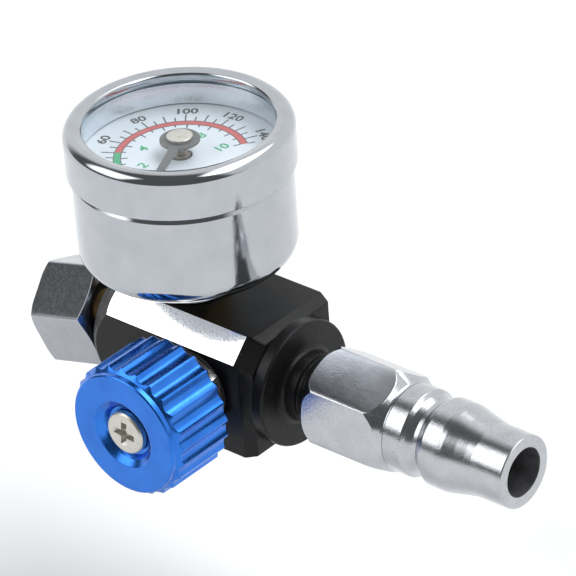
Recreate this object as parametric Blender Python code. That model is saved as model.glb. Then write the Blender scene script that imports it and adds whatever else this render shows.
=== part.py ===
"""Air pressure regulator with a dial gauge on top, a quick-connect plug, a swivel nut and a side knob.

Frame, in metres: the origin is the centre of the body's bottom face, under the gauge. +X runs along the
flow towards the quick-connect plug, -Y points to the adjusting knob and +Z up to the gauge's dial.
Lengths below are in millimetres and are turned to metres as each mesh is made.
"""

import math

import bmesh
import bpy
from mathutils import Matrix, Vector

MM = 0.001

# Body: a square bar with one broad polished corner bevel
HALF = 11.2
FLOW_Z = HALF
CORNER_LEG = 4.0
LEFT_END, LEFT_END_R, LEFT_CONE_DEG = -15.1, 10.4, 33.4
RIGHT_END, EDGE_BEVEL_X, EDGE_BEVEL_DROP = 22.1, 19.7, 0.85
CORNER_BEVEL_X, CORNER_BEVEL_DROP = 18.7, 1.5
COLLAR_R, COLLAR_END = 11.5, 24.7
NECK_R, NECK_GROOVE_R, NECK_THREAD_R, NECK_END = 6.4, 5.9, 6.55, 40.4
OUTLET_BORE_R, INLET_BORE_R, PASSAGE_R = 3.0, 3.2, 1.6
TAIL_BORE_R, TAIL_BORE_END = 4.9, -7.0
GAP = 0.3

# Quick-connect plug, stations along the flow axis
PLUG_AF, PLUG_HEX_START, PLUG_HEX_END = 17.1, 30.0, 47.5
PLUG_SOCKET_R, PLUG_SOCKET_END, PLUG_BORE_START = 6.85, 42.0, 49.0
PLUG_HEX_TURN_DEG = 55.0
PLUG_TIP_X, PLUG_TIP_R, PLUG_BORE_TIP_R = 72.3, 6.5, 4.42
PLUG_BELLY_R, PLUG_GROOVE_R = 7.9, 6.7

# Swivel nut: it hangs down from its tailpiece, turned about the point where its axis meets the flow axis
NUT_DROOP_DEG = 14.9
NUT_PIVOT_X = -16.5
NUT_AF, NUT_REAR, NUT_FRONT = 18.0, 1.06, 14.76
NUT_TURN_DEG = -73.2
NUT_HOLE_R, NUT_RELIEF_R, NUT_THREAD_R = 4.9, 7.0, 5.73
NUT_WALL_END, NUT_RELIEF_END = 2.9, 9.4
TAIL_NECK_R, TAIL_HEAD_R, TAIL_BORE = 3.7, 5.1, 2.0
TAIL_HEAD_X, TAIL_TIP_X = -21.1, -23.3

# Adjusting valve and knob, all about one axis that points to -Y
KNOB_X = 9.45
KNOB_FACE, KNOB_FLUTES_END, KNOB_REAR = 30.0, 28.9, 16.5
KNOB_CREST_R, KNOB_VALLEY_R, KNOB_STEP_R, KNOB_FACE_R, FLUTES = 12.3, 11.72, 11.25, 10.95, 24
RECESS_R, RECESS_FLOOR_R, RECESS_FLOOR = 6.2, 4.6, 28.2
SCREW_HEAD_R, SCREW_FACE, SCREW_SHANK_R, SCREW_END = 4.1, 29.75, 1.5, 19.5
SCREW_CROSS_TURN_DEG = -6.0
BONNET_AF, BONNET_FRONT, BONNET_BACK, BONNET_TURN_DEG = 14.0, 16.1, 12.2, 5.0
BONNET_SLEEVE_R, BONNET_INNER, BONNET_BORE_R, BONNET_THREAD_R = 5.7, 6.4, 3.2, 3.75
SPINDLE_R, SPINDLE_THREAD_R, SPINDLE_STUB_R = 2.9, 3.4, 1.3
CHAMBER_R, CHAMBER_FLOOR = 6.0, -4.2
SEAT_BORE_R = 2.0

# Gauge: heights above the flow axis
CASE_R, CASE_WALL, CASE_BOTTOM, CASE_RIM, CASE_CORNER = 19.15, 0.75, 18.0, 40.7, 3.5
CASE_NECK_R, CASE_SHOULDER = 18.75, 34.9
BEZEL_R, BEZEL_INNER_R, BEZEL_FOOT, BEZEL_TOP, BEZEL_LIP_R = 20.0, 19.45, 36.2, 44.5, 16.56
BEZEL_ROUND = 2.05
LENS_R, LENS_LOW, LENS_TOP = 19.1, 41.75, 42.75
DIAL_R, DIAL_TOP, DIAL_THICK, DIAL_HOLE_R = 17.9, 37.5, 0.6, 2.0
SOCKET_AF, SOCKET_HEX_LOW, SOCKET_HEX_TOP = 12.0, 12.2, 17.4
CASE_SCREW_X = 8.4
STEM_R, STEM_LOW, PORT_R, PORT_FLOOR = 4.4, 5.0, 4.7, 4.0
DIAL_TURN_DEG = 6.5
SCALE_SWEEP_DEG = 240.0
POINTER_LOW, POINTER_THICK, POINTER_HUB_R, POINTER_REACH, POINTER_WIDTH = 40.3, 0.4, 3.5, 12.6, 1.5
CAP_R, CAP_LOW, CAP_TOP = 2.3, 40.8, 41.4
ARBOR_R = 0.45

# Movement inside the gauge
GEAR_MODULE, PINION_TEETH, SECTOR_TEETH = 0.3, 8, 48
SECTOR_DIRECTION_DEG = 205.0
PLATE_LOW_Z, PLATE_UP_Z, PLATE_THICK, PLATE_HALF_WIDTH = 29.6, 34.9, 0.6, 4.4
SECTOR_Z, SECTOR_THICK, TAIL_ARM = 31.6, 0.8, 3.5
LINK_Z, LINK_THICK = 30.8, 0.4
TUBE_R, TUBE_HALF_THICK, TUBE_HALF_HEIGHT, TUBE_Z = 13.2, 0.9, 2.4, 26.4
TUBE_START_DEG, TUBE_END_DEG = -75.0, 168.0

ROUND, FINE_ROUND, SMALL_ROUND = 36, 48, 24


# ---------------------------------------------------------------- helpers


def clear_scene():
    for obj in list(bpy.data.objects):
        bpy.data.objects.remove(obj, do_unlink=True)


def material(name, colour, roughness, metallic, alpha=1.0):
    made = bpy.data.materials.get(name) or bpy.data.materials.new(name)
    made.use_nodes = True
    shader = made.node_tree.nodes["Principled BSDF"]
    shader.inputs["Base Color"].default_value = (*colour, 1.0)
    shader.inputs["Roughness"].default_value = roughness
    shader.inputs["Metallic"].default_value = metallic
    shader.inputs["Alpha"].default_value = alpha
    return made


MATERIALS = {
    "black_anodised": ((0.03, 0.03, 0.033), 0.38, 0.2),
    "chrome": ((0.75, 0.75, 0.77), 0.12, 1.0),
    "blue_anodised": ((0.03, 0.2, 0.75), 0.3, 0.9),
    "nickel_steel": ((0.55, 0.54, 0.52), 0.35, 1.0),
    "brass": ((0.72, 0.52, 0.2), 0.35, 1.0),
    "black_rubber": ((0.02, 0.02, 0.02), 0.7, 0.0),
    "clear_glass": ((0.9, 0.95, 0.95), 0.05, 0.0, 0.3),
    "dial_white": ((0.85, 0.88, 0.92), 0.5, 0.0),
    "pointer_black": ((0.06, 0.06, 0.065), 0.45, 0.0),
    "phosphor_bronze": ((0.6, 0.4, 0.22), 0.4, 1.0),
    "white_seal": ((0.85, 0.85, 0.82), 0.6, 0.0),
}


def mesh_object(name, bm, finish=None, smooth_deg=35.0):
    bmesh.ops.remove_doubles(bm, verts=bm.verts[:], dist=1e-7)
    bmesh.ops.recalc_face_normals(bm, faces=bm.faces[:])
    mesh = bpy.data.meshes.new(name)
    bm.to_mesh(mesh)
    bm.free()
    obj = bpy.data.objects.new(name, mesh)
    bpy.context.scene.collection.objects.link(obj)
    if finish:
        mesh.materials.append(material(finish, *MATERIALS[finish]))
    mesh.shade_smooth()
    mesh.set_sharp_from_angle(angle=math.radians(smooth_deg))
    return obj


def turned_mesh(profile, segments):
    """A closed outline of (radius, height) points in mm, turned about local Z."""
    bm = bmesh.new()
    rings = []
    for radius, height in profile:
        if radius < 1e-6:
            rings.append([bm.verts.new((0, 0, height * MM))] * segments)
            continue
        rings.append(
            [
                bm.verts.new(
                    (
                        radius * MM * math.cos(2 * math.pi * k / segments),
                        radius * MM * math.sin(2 * math.pi * k / segments),
                        height * MM,
                    )
                )
                for k in range(segments)
            ]
        )
    for low, high in zip(rings, rings[1:] + rings[:1]):
        for k in range(segments):
            corners = []
            for vert in (low[k], low[k - 1], high[k - 1], high[k]):
                if vert not in corners:
                    corners.append(vert)
            if len(corners) > 2:
                bm.faces.new(corners)
    return bm


def turned(name, profile, finish=None, segments=ROUND, smooth_deg=35.0):
    return mesh_object(name, turned_mesh(profile, segments), finish, smooth_deg)


def ring_profile(inner, outer, low, high, bevel=0.0):
    if not bevel:
        return [(inner, low), (outer, low), (outer, high), (inner, high)]
    return [
        (inner, low),
        (outer - bevel, low),
        (outer, low + bevel),
        (outer, high - bevel),
        (outer - bevel, high),
        (inner, high),
    ]


def round_section(middle_r, height, radius, sides=10):
    """The outline of an O-ring's round section."""
    return [
        (
            middle_r + radius * math.cos(2 * math.pi * k / sides),
            height + radius * math.sin(2 * math.pi * k / sides),
        )
        for k in range(sides)
    ]


def arc(centre_r, centre_h, radius, from_deg, to_deg, steps):
    return [
        (
            centre_r + radius * math.cos(math.radians(from_deg + (to_deg - from_deg) * k / steps)),
            centre_h + radius * math.sin(math.radians(from_deg + (to_deg - from_deg) * k / steps)),
        )
        for k in range(steps + 1)
    ]


def prism(name, outline, low, high, finish=None, smooth_deg=35.0):
    """A closed outline of (x, y) points in mm, extruded along local Z."""
    bm = bmesh.new()
    bottom = [bm.verts.new((x * MM, y * MM, low * MM)) for x, y in outline]
    top = [bm.verts.new((x * MM, y * MM, high * MM)) for x, y in outline]
    count = len(outline)
    for k in range(count):
        bm.faces.new((bottom[k], bottom[(k + 1) % count], top[(k + 1) % count], top[k]))
    bm.faces.new(bottom[::-1])
    bm.faces.new(top)
    return mesh_object(name, bm, finish, smooth_deg)


def polygon(radius, sides, turn_deg=0.0):
    return [
        (
            radius * math.cos(math.radians(turn_deg) + 2 * math.pi * k / sides),
            radius * math.sin(math.radians(turn_deg) + 2 * math.pi * k / sides),
        )
        for k in range(sides)
    ]


def rectangle(x0, y0, x1, y1):
    return [(x0, y0), (x1, y0), (x1, y1), (x0, y1)]


def cylinder(name, radius, low, high, segments=SMALL_ROUND):
    return turned(name, [(0, low), (radius, low), (radius, high), (0, high)], segments=segments)


def box(name, x0, y0, z0, x1, y1, z1, finish=None):
    return prism(name, rectangle(x0, y0, x1, y1), z0, z1, finish)


def aim(obj, origin, axis=(0, 0, 1), turn_deg=0.0):
    """Puts local Z on the axis through the origin (mm), turned about it from a fixed start."""
    axis = Vector(axis).normalized()
    side = Vector((0, 0, 1)) if abs(axis.z) < 0.9 else Vector((1, 0, 0))
    across = (side - axis * side.dot(axis)).normalized()
    basis = Matrix((across, axis.cross(across), axis)).transposed().to_4x4()
    spin = Matrix.Rotation(math.radians(turn_deg), 4, "Z")
    obj.matrix_world = Matrix.Translation(Vector(origin) * MM) @ basis @ spin
    return obj


def helper(obj):
    obj.hide_render = True
    obj.display_type = "WIRE"
    return obj


def combine(target, operation, *others):
    """Boolean modifiers that stay on the target; the other objects become hidden guides."""
    for other in others:
        made = target.modifiers.new(other.name, "BOOLEAN")
        made.operation = operation
        made.solver = "EXACT"
        made.object = helper(other)
    return target


def cut(target, *others):
    return combine(target, "DIFFERENCE", *others)


def join(target, *others):
    return combine(target, "UNION", *others)


def keep_inside(target, *others):
    return combine(target, "INTERSECT", *others)


FLOW_AXIS = (1, 0, 0)
VALVE_AXIS = (0, -1, 0)
UP = (0, 0, 1)
FLOW_ORIGIN = (0, 0, FLOW_Z)
VALVE_ORIGIN = (KNOB_X, 0, FLOW_Z)


def along_flow(obj, turn_deg=0.0):
    return aim(obj, FLOW_ORIGIN, FLOW_AXIS, turn_deg)


def along_valve(obj, turn_deg=0.0):
    return aim(obj, VALVE_ORIGIN, VALVE_AXIS, turn_deg)


def on_gauge(obj, turn_deg=0.0):
    return aim(obj, FLOW_ORIGIN, UP, turn_deg)


def hex_blank(name, across_flats, low, high, chamfer_low, chamfer_high):
    """A hexagon bar whose corners are turned off at 30 degrees at both ends."""
    corner = across_flats / math.sqrt(3)
    run = math.tan(math.radians(30))
    blank = prism(name, polygon(corner, 6), low, high, smooth_deg=20.0)
    limit = [
        (0, low - 0.1),
        (corner - chamfer_low - 0.1 / run, low - 0.1),
        (corner + 0.3, low + (chamfer_low + 0.3) * run),
        (corner + 0.3, high - (chamfer_high + 0.3) * run),
        (corner - chamfer_high - 0.1 / run, high + 0.1),
        (0, high + 0.1),
    ]
    return blank, turned(name + "_limit", limit, segments=48)


def finish_with(obj, finish):
    obj.data.materials.append(material(finish, *MATERIALS[finish]))
    return obj


# ---------------------------------------------------------------- body and flow path


def bar_section(half, corner_distance):
    """The bar's outline in (y, z) about the flow axis, its front upper corner bevelled at 45 degrees."""
    edge = corner_distance * math.sqrt(2) - half
    return [(half, -half), (half, half), (-edge, half), (-half, edge), (-half, -half)]


def regulator_body():
    corner = (2 * HALF - CORNER_LEG) / math.sqrt(2)
    slope = CORNER_BEVEL_DROP / (RIGHT_END - CORNER_BEVEL_X)
    stations = [
        (LEFT_END, HALF, corner),
        (CORNER_BEVEL_X, HALF, corner),
        (EDGE_BEVEL_X, HALF, corner - slope * (EDGE_BEVEL_X - CORNER_BEVEL_X)),
        (RIGHT_END, HALF - EDGE_BEVEL_DROP, corner - CORNER_BEVEL_DROP),
    ]
    bm = bmesh.new()
    rings = [
        [bm.verts.new((x * MM, y * MM, (FLOW_Z + z) * MM)) for y, z in bar_section(half, distance)]
        for x, half, distance in stations
    ]
    for near, far in zip(rings, rings[1:]):
        for k in range(len(near)):
            bm.faces.new((near[k - 1], near[k], far[k], far[k - 1]))
    bm.faces.new(rings[0])
    bm.faces.new(rings[-1][::-1])
    bar = mesh_object("regulator_body", bm, "black_anodised", smooth_deg=12.0)

    wide = 2 * HALF
    cone_run = (wide - LEFT_END_R) / math.tan(math.radians(LEFT_CONE_DEG))
    left_cone = [
        (0, LEFT_END),
        (LEFT_END_R, LEFT_END),
        (wide, LEFT_END + cone_run),
        (wide, RIGHT_END + 1),
        (0, RIGHT_END + 1),
    ]
    collar = [
        (0, RIGHT_END - 1.5),
        (9.0, RIGHT_END - 1.5),
        (9.0, RIGHT_END - 0.1),
        (COLLAR_R - 0.3, RIGHT_END - 0.1),
        (COLLAR_R, RIGHT_END + 0.2),
        (COLLAR_R, COLLAR_END - 0.2),
        (COLLAR_R - 0.2, COLLAR_END),
        (NECK_R + 0.4, COLLAR_END),
        (NECK_R, COLLAR_END + 0.4),
        (NECK_R, PLUG_HEX_START - 2.4),
        (NECK_GROOVE_R, PLUG_HEX_START - 2.2),
        (NECK_GROOVE_R, PLUG_HEX_START - 1.7),
        (NECK_THREAD_R, PLUG_HEX_START - 1.4),
        (NECK_THREAD_R, NECK_END - 0.8),
        (NECK_THREAD_R - 0.8, NECK_END),
        (0, NECK_END),
    ]
    keep_inside(bar, along_flow(turned("body_left_cone", left_cone, segments=FINE_ROUND), 2.0))
    join(bar, along_flow(turned("body_collar", collar, segments=48)))
    chamber_left = KNOB_X - CHAMBER_R
    back_passage = 7.4
    tail_bore = [
        (0, LEFT_END - 1),
        (TAIL_BORE_R, LEFT_END - 1),
        (TAIL_BORE_R, TAIL_BORE_END),
        (OUTLET_BORE_R, TAIL_BORE_END),
        (OUTLET_BORE_R, chamber_left - 1.5),
        (0, chamber_left - 1.5),
    ]
    plug_bore = [
        (0, KNOB_X),
        (INLET_BORE_R, KNOB_X),
        (INLET_BORE_R, NECK_END + 1),
        (0, NECK_END + 1),
    ]
    chamber = [
        (0, -back_passage),
        (SEAT_BORE_R, -back_passage),
        (SEAT_BORE_R, CHAMBER_FLOOR),
        (CHAMBER_R, CHAMBER_FLOOR),
        (CHAMBER_R, HALF + 1),
        (0, HALF + 1),
    ]
    gauge_port = [
        (0, 0.5),
        (PASSAGE_R, 0.5),
        (PASSAGE_R, PORT_FLOOR),
        (PORT_R, PORT_FLOOR),
        (PORT_R, HALF + 1),
        (0, HALF + 1),
    ]
    cross_origin = (0, 0, FLOW_Z)
    cross_passage = cylinder("cut_cross_passage", PASSAGE_R, -back_passage - 0.6, 0.5, segments=16)
    back_bore = cylinder("cut_back_passage", PASSAGE_R, -1.0, KNOB_X + 1.0, segments=16)
    cut(
        bar,
        along_flow(turned("cut_tail_bore", tail_bore, segments=32), 4.0),
        along_flow(turned("cut_plug_bore_seat", plug_bore, segments=32), 4.0),
        along_valve(turned("cut_chamber", chamber, segments=32), 3.0),
        aim(back_bore, (0, back_passage, FLOW_Z), FLOW_AXIS, 5.0),
        aim(cross_passage, cross_origin, VALVE_AXIS, 11.0),
        on_gauge(turned("cut_gauge_port", gauge_port, segments=32), 7.0),
    )


def quick_connect_plug():
    low, high = PLUG_HEX_START, PLUG_HEX_END
    hexagon = prism("quick_connect_plug", polygon(PLUG_AF / math.sqrt(3), 6), low, high, smooth_deg=20.0)
    rear = [(7.77, 0.0), (8.55, 0.95), (9.05, 1.3), (9.5, 1.9), (9.95, 3.0)]
    front = [(7.92, 0.0), (8.55, 0.75), (9.05, 1.1), (9.5, 1.7), (9.95, 2.8)]
    limit = [(0, low), *[(r, low + x) for r, x in rear], *[(r, high - x) for r, x in front[::-1]], (0, high)]
    limit = turned("plug_hexagon_limit", limit, segments=48)
    finish_with(hexagon, "chrome")
    tip = PLUG_TIP_X
    nose = [
        (0, PLUG_HEX_END - 3),
        (7.85, PLUG_HEX_END - 3),
        (7.85, PLUG_HEX_END + 4.3),
        (7.2, PLUG_HEX_END + 5.0),
        (PLUG_GROOVE_R, tip - 18.6),
        (PLUG_GROOVE_R, tip - 17.7),
        (7.5, tip - 16.9),
        (PLUG_BELLY_R, tip - 16.1),
        (PLUG_BELLY_R, tip - 13.0),
        (7.75, tip - 12.0),
        (7.2, tip - 9.8),
        (6.8, tip - 7.9),
        (6.55, tip - 6.5),
        (PLUG_TIP_R, tip - 0.4),
        (PLUG_TIP_R - 0.4, tip),
        (0, tip),
    ]
    keep_inside(along_flow(hexagon, PLUG_HEX_TURN_DEG), along_flow(limit))
    join(hexagon, along_flow(turned("plug_nose", nose)))
    bore = [
        (0, PLUG_HEX_START - 1),
        (PLUG_SOCKET_R + 0.4, PLUG_HEX_START - 1),
        (PLUG_SOCKET_R + 0.4, PLUG_HEX_START + 0.1),
        (PLUG_SOCKET_R, PLUG_HEX_START + 0.5),
        (PLUG_SOCKET_R, PLUG_SOCKET_END),
        (INLET_BORE_R, PLUG_SOCKET_END),
        (INLET_BORE_R, PLUG_BORE_START),
        (PLUG_BORE_TIP_R, PLUG_BORE_START),
        (PLUG_BORE_TIP_R, tip + 1),
        (0, tip + 1),
    ]
    cut(hexagon, along_flow(turned("cut_plug_bore", bore, segments=32), 3.0))


def plug_sealing_washer():
    along_flow(
        turned(
            "plug_sealing_washer",
            ring_profile(3.7, 6.5, NECK_END + 0.3, PLUG_SOCKET_END - 0.3),
            "black_rubber",
            segments=32,
        )
    )


# ---------------------------------------------------------------- swivel nut side


def nut_axis():
    droop = math.radians(NUT_DROOP_DEG)
    return Vector((-math.cos(droop), 0, -math.sin(droop)))


NUT_ORIGIN = (NUT_PIVOT_X, 0, FLOW_Z)


def on_nut(obj, turn_deg=0.0):
    """Local Z runs from the pivot to the nut's open end."""
    return aim(obj, NUT_ORIGIN, nut_axis(), turn_deg)


def swivel_nut():
    rear, front = NUT_REAR, NUT_FRONT
    hexagon, limit = hex_blank("swivel_nut", NUT_AF, rear, front, 2.1, 1.0)
    finish_with(hexagon, "chrome")
    bore = [
        (0, rear - 1),
        (NUT_HOLE_R, rear - 1),
        (NUT_HOLE_R, NUT_WALL_END),
        (NUT_RELIEF_R, NUT_WALL_END),
        (NUT_RELIEF_R, NUT_RELIEF_END - 0.4),
        (NUT_THREAD_R, NUT_RELIEF_END),
        (NUT_THREAD_R, front - 0.9),
        (6.7, front),
        (6.7, front + 1),
        (0, front + 1),
    ]
    keep_inside(on_nut(hexagon, NUT_TURN_DEG), on_nut(limit))
    cut(hexagon, on_nut(turned("cut_nut_bore", bore, segments=36)))


def nut_gasket():
    on_nut(turned("nut_gasket", ring_profile(3.0, 6.7, 7.8, 9.0), "white_seal", segments=32))


def nut_tailpiece():
    profile = [
        (TAIL_BORE, TAIL_BORE_END - 1.2),
        (4.2, TAIL_BORE_END - 1.2),
        (TAIL_BORE_R - 0.3, TAIL_BORE_END - 1.7),
        (TAIL_BORE_R - 0.3, LEFT_END),
        (TAIL_NECK_R, LEFT_END - 0.6),
        (TAIL_NECK_R, TAIL_HEAD_X + 0.1),
        (TAIL_HEAD_R, TAIL_HEAD_X),
        (TAIL_HEAD_R, TAIL_HEAD_X - 1.2),
        (3.5, TAIL_TIP_X),
        (TAIL_BORE, TAIL_TIP_X),
    ]
    along_flow(turned("nut_tailpiece", profile, "brass", segments=32))


# ---------------------------------------------------------------- adjusting valve and knob


def bonnet():
    hexagon, limit = hex_blank("bonnet", BONNET_AF, BONNET_BACK, BONNET_FRONT, 0.35, 0.6)
    finish_with(hexagon, "nickel_steel")
    sleeve = [
        (0, BONNET_INNER),
        (BONNET_SLEEVE_R - 0.4, BONNET_INNER),
        (BONNET_SLEEVE_R, BONNET_INNER + 0.4),
        (BONNET_SLEEVE_R, BONNET_BACK + 1),
        (0, BONNET_BACK + 1),
    ]
    keep_inside(along_valve(hexagon, BONNET_TURN_DEG), along_valve(limit))
    join(hexagon, along_valve(turned("bonnet_sleeve", sleeve)))
    bore = [
        (0, BONNET_INNER - 1),
        (BONNET_THREAD_R, BONNET_INNER - 1),
        (BONNET_THREAD_R, 11.2),
        (BONNET_BORE_R, 11.2),
        (BONNET_BORE_R, BONNET_FRONT + 1),
        (0, BONNET_FRONT + 1),
    ]
    cut(hexagon, along_valve(turned("cut_bonnet_bore", bore, segments=SMALL_ROUND), 3.0))


def bonnet_seal_ring():
    along_valve(
        turned("bonnet_seal_ring", ring_profile(6.2, 7.0, 11.45, 11.95), "black_rubber", segments=32)
    )


def valve_spindle():
    groove_low, groove_high, groove_r = 12.7, 14.3, 2.1
    profile = [
        (0, 1.6),
        (SPINDLE_STUB_R, 1.6),
        (SPINDLE_STUB_R, 5.0),
        (SPINDLE_R, 5.0),
        (SPINDLE_R, 5.8),
        (SPINDLE_THREAD_R, 6.1),
        (SPINDLE_THREAD_R, 8.6),
        (SPINDLE_R, 8.9),
        (SPINDLE_R, groove_low),
        (groove_r, groove_low),
        (groove_r, groove_high),
        (SPINDLE_R, groove_high),
        (SPINDLE_R, 25.8),
        (SPINDLE_R - 0.3, 26.1),
        (SCREW_SHANK_R + 0.3, 26.1),
        (SCREW_SHANK_R + 0.3, SCREW_END - 0.6),
        (0, SCREW_END - 0.6),
    ]
    along_valve(turned("valve_spindle", profile, "brass", segments=SMALL_ROUND))


def spindle_rings():
    along_valve(
        turned("spindle_o_ring", round_section(2.65, 13.5, 0.45, 8), "black_rubber", SMALL_ROUND, 60.0)
    )
    along_valve(turned("spindle_clip", ring_profile(1.4, 2.3, 2.1, 2.5), "nickel_steel", SMALL_ROUND))


def valve_poppet():
    profile = [
        (0, -1.2),
        (3.7, -1.2),
        (4.2, -0.7),
        (4.2, 3.4),
        (3.6, 4.2),
        (1.6, 4.2),
        (1.6, 2.8),
        (2.6, 2.8),
        (2.6, 0.0),
        (0, 0.0),
    ]
    along_valve(turned("valve_poppet", profile, "brass", segments=SMALL_ROUND))
    seal = [(0, -2.2), (3.2, -2.2), (3.4, -2.0), (3.4, -1.4), (0, -1.4)]
    along_valve(turned("valve_poppet_seal", seal, "black_rubber", segments=SMALL_ROUND))


def valve_seat():
    profile = [(SEAT_BORE_R, -3.9), (5.7, -3.9), (5.7, -2.9), (2.7, -2.9), (2.5, -2.5), (SEAT_BORE_R, -2.5)]
    along_valve(turned("valve_seat", profile, "brass", segments=32))


def flute_outline():
    """One shallow concave flute after another, with narrow crests between them."""
    outline = []
    pitch = 360.0 / FLUTES
    crest_half = 0.07
    steps = 6
    for flute in range(FLUTES):
        for step in range(steps + 1):
            share = -1 + 2 * step / steps
            angle = math.radians(pitch * (flute + 0.5 + share * (0.5 - crest_half)))
            depth = (KNOB_CREST_R - KNOB_VALLEY_R) * (1 - share * share)
            radius = KNOB_CREST_R - depth
            outline.append((radius * math.cos(angle), radius * math.sin(angle)))
    return outline


def adjusting_knob():
    blank = prism("adjusting_knob", flute_outline(), KNOB_REAR - 1, KNOB_FACE + 1, "blue_anodised", 28.0)
    edge = KNOB_CREST_R - KNOB_STEP_R
    limit = [
        (0, KNOB_REAR),
        (KNOB_CREST_R - 0.3, KNOB_REAR),
        (KNOB_CREST_R + 0.1, KNOB_REAR + 0.4),
        (KNOB_CREST_R + 0.1, KNOB_FLUTES_END - edge * 0.6 - 0.06),
        (KNOB_STEP_R, KNOB_FLUTES_END),
        (KNOB_STEP_R, KNOB_FACE - 0.3),
        (KNOB_FACE_R, KNOB_FACE),
        (RECESS_R, KNOB_FACE),
        (RECESS_R - 0.9, KNOB_FACE - 0.7),
        (RECESS_FLOOR_R, RECESS_FLOOR),
        (0, RECESS_FLOOR),
    ]
    bore = [
        (0, KNOB_REAR - 1),
        (SPINDLE_R + GAP, KNOB_REAR - 1),
        (SPINDLE_R + GAP, 26.4),
        (SCREW_SHANK_R + GAP, 26.4),
        (SCREW_SHANK_R + GAP, RECESS_FLOOR + 1),
        (0, RECESS_FLOOR + 1),
    ]
    along_valve(blank, 2.5)
    keep_inside(blank, along_valve(turned("knob_limit", limit, segments=48)))
    cut(blank, along_valve(turned("cut_knob_bore", bore, segments=SMALL_ROUND)))


def knob_screw():
    profile = [
        (0, SCREW_END),
        (SCREW_SHANK_R - 0.3, SCREW_END),
        (SCREW_SHANK_R, SCREW_END + 0.3),
        (SCREW_SHANK_R, RECESS_FLOOR + 0.2),
        (SCREW_HEAD_R - 0.1, RECESS_FLOOR + 0.2),
        (SCREW_HEAD_R, RECESS_FLOOR + 0.4),
        (SCREW_HEAD_R, SCREW_FACE - 0.35),
        (SCREW_HEAD_R - 0.35, SCREW_FACE),
        (0, SCREW_FACE),
    ]
    screw = along_valve(turned("knob_screw", profile, "nickel_steel", segments=32))
    arm, half_width, depth = 2.25, 0.55, 1.2
    for turn in (0.0, 90.0):
        low, high = SCREW_FACE - depth, SCREW_FACE + 1
        slot = box(f"cut_cross_{int(turn)}", -arm, -half_width, low, arm, half_width, high)
        cut(screw, along_valve(slot, SCREW_CROSS_TURN_DEG + turn))


# ---------------------------------------------------------------- gauge casing and dial


def gauge_case():
    outer, inner = CASE_R, CASE_R - CASE_WALL
    low, hole = CASE_BOTTOM, 5.8
    corner = arc(outer - CASE_CORNER, low + CASE_CORNER, CASE_CORNER, -90, 0, 5)
    inner_corner = arc(outer - CASE_CORNER, low + CASE_CORNER, CASE_CORNER - CASE_WALL, 0, -90, 5)
    profile = [
        (hole, low),
        *corner,
        (outer, CASE_SHOULDER),
        (CASE_NECK_R, CASE_SHOULDER + 0.6),
        (CASE_NECK_R, CASE_RIM),
        (inner, CASE_RIM),
        *inner_corner,
        (hole, low + CASE_WALL),
    ]
    case = on_gauge(turned("gauge_case", profile, "chrome", segments=FINE_ROUND))
    for side in (-1, 1):
        hole = cylinder(f"cut_case_screw_{side + 1}", 1.3, CASE_BOTTOM - 1, CASE_BOTTOM + 2, segments=12)
        cut(case, aim(hole, (CASE_SCREW_X * side, 0, FLOW_Z), UP, 11.0))


def gauge_bezel():
    rounding = arc(BEZEL_R - BEZEL_ROUND, BEZEL_TOP - BEZEL_ROUND, BEZEL_ROUND, 0, 90, 5)
    profile = [
        (BEZEL_INNER_R, BEZEL_FOOT),
        (BEZEL_R - 0.2, BEZEL_FOOT),
        (BEZEL_R, BEZEL_FOOT + 0.2),
        *rounding,
        (BEZEL_LIP_R + 0.25, 44.15),
        (BEZEL_LIP_R, 43.9),
        (BEZEL_LIP_R, 43.0),
        (BEZEL_INNER_R, 43.0),
    ]
    on_gauge(turned("gauge_bezel", profile, "chrome", segments=FINE_ROUND))


def lens_stack():
    lens = [(0, LENS_LOW), (LENS_R, LENS_LOW), (LENS_R, LENS_TOP), (0, LENS_TOP)]
    on_gauge(turned("gauge_lens", lens, "clear_glass", segments=FINE_ROUND))
    on_gauge(turned("lens_gasket", ring_profile(18.5, LENS_R, 41.0, 41.5), "white_seal", 48))
    on_gauge(turned("dial_spacer_ring", ring_profile(17.7, 18.2, 37.8, 41.45), "dial_white", FINE_ROUND))
    dial = ring_profile(DIAL_HOLE_R, DIAL_R, DIAL_TOP - DIAL_THICK, DIAL_TOP)
    on_gauge(turned("dial_plate", dial, "dial_white", 48))


def clockwise_from_back(angle_deg):
    """Turn about +Z, from +X, for a dial angle counted clockwise from the dial's 12 o'clock."""
    return 180.0 - (angle_deg + DIAL_TURN_DEG)


def pointer_set():
    low, high = POINTER_LOW, POINTER_LOW + POINTER_THICK
    start = clockwise_from_back(-SCALE_SWEEP_DEG / 2)
    half = POINTER_WIDTH / 2
    blade_outline = [
        (2.5, -half),
        (POINTER_REACH - 1.2, -half * 0.85),
        (POINTER_REACH, 0),
        (POINTER_REACH - 1.2, half * 0.85),
        (2.5, half),
    ]
    hub = [
        (0, high),
        (0, low + 0.15),
        (0.62, low + 0.15),
        (0.62, 38.3),
        (0.95, 38.3),
        (0.95, low),
        (POINTER_HUB_R, low),
        (POINTER_HUB_R, high),
    ]
    pointer = on_gauge(turned("pointer", hub, "pointer_black", segments=32), start)
    join(pointer, on_gauge(prism("pointer_blade", blade_outline, low + 0.05, high - 0.05), start))
    cap = [(0, CAP_LOW), (CAP_R, CAP_LOW), (CAP_R, CAP_TOP - 0.25), (CAP_R - 0.3, CAP_TOP), (0, CAP_TOP)]
    on_gauge(turned("pointer_cap", cap, "nickel_steel", segments=32))


# ---------------------------------------------------------------- gauge socket and movement


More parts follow.
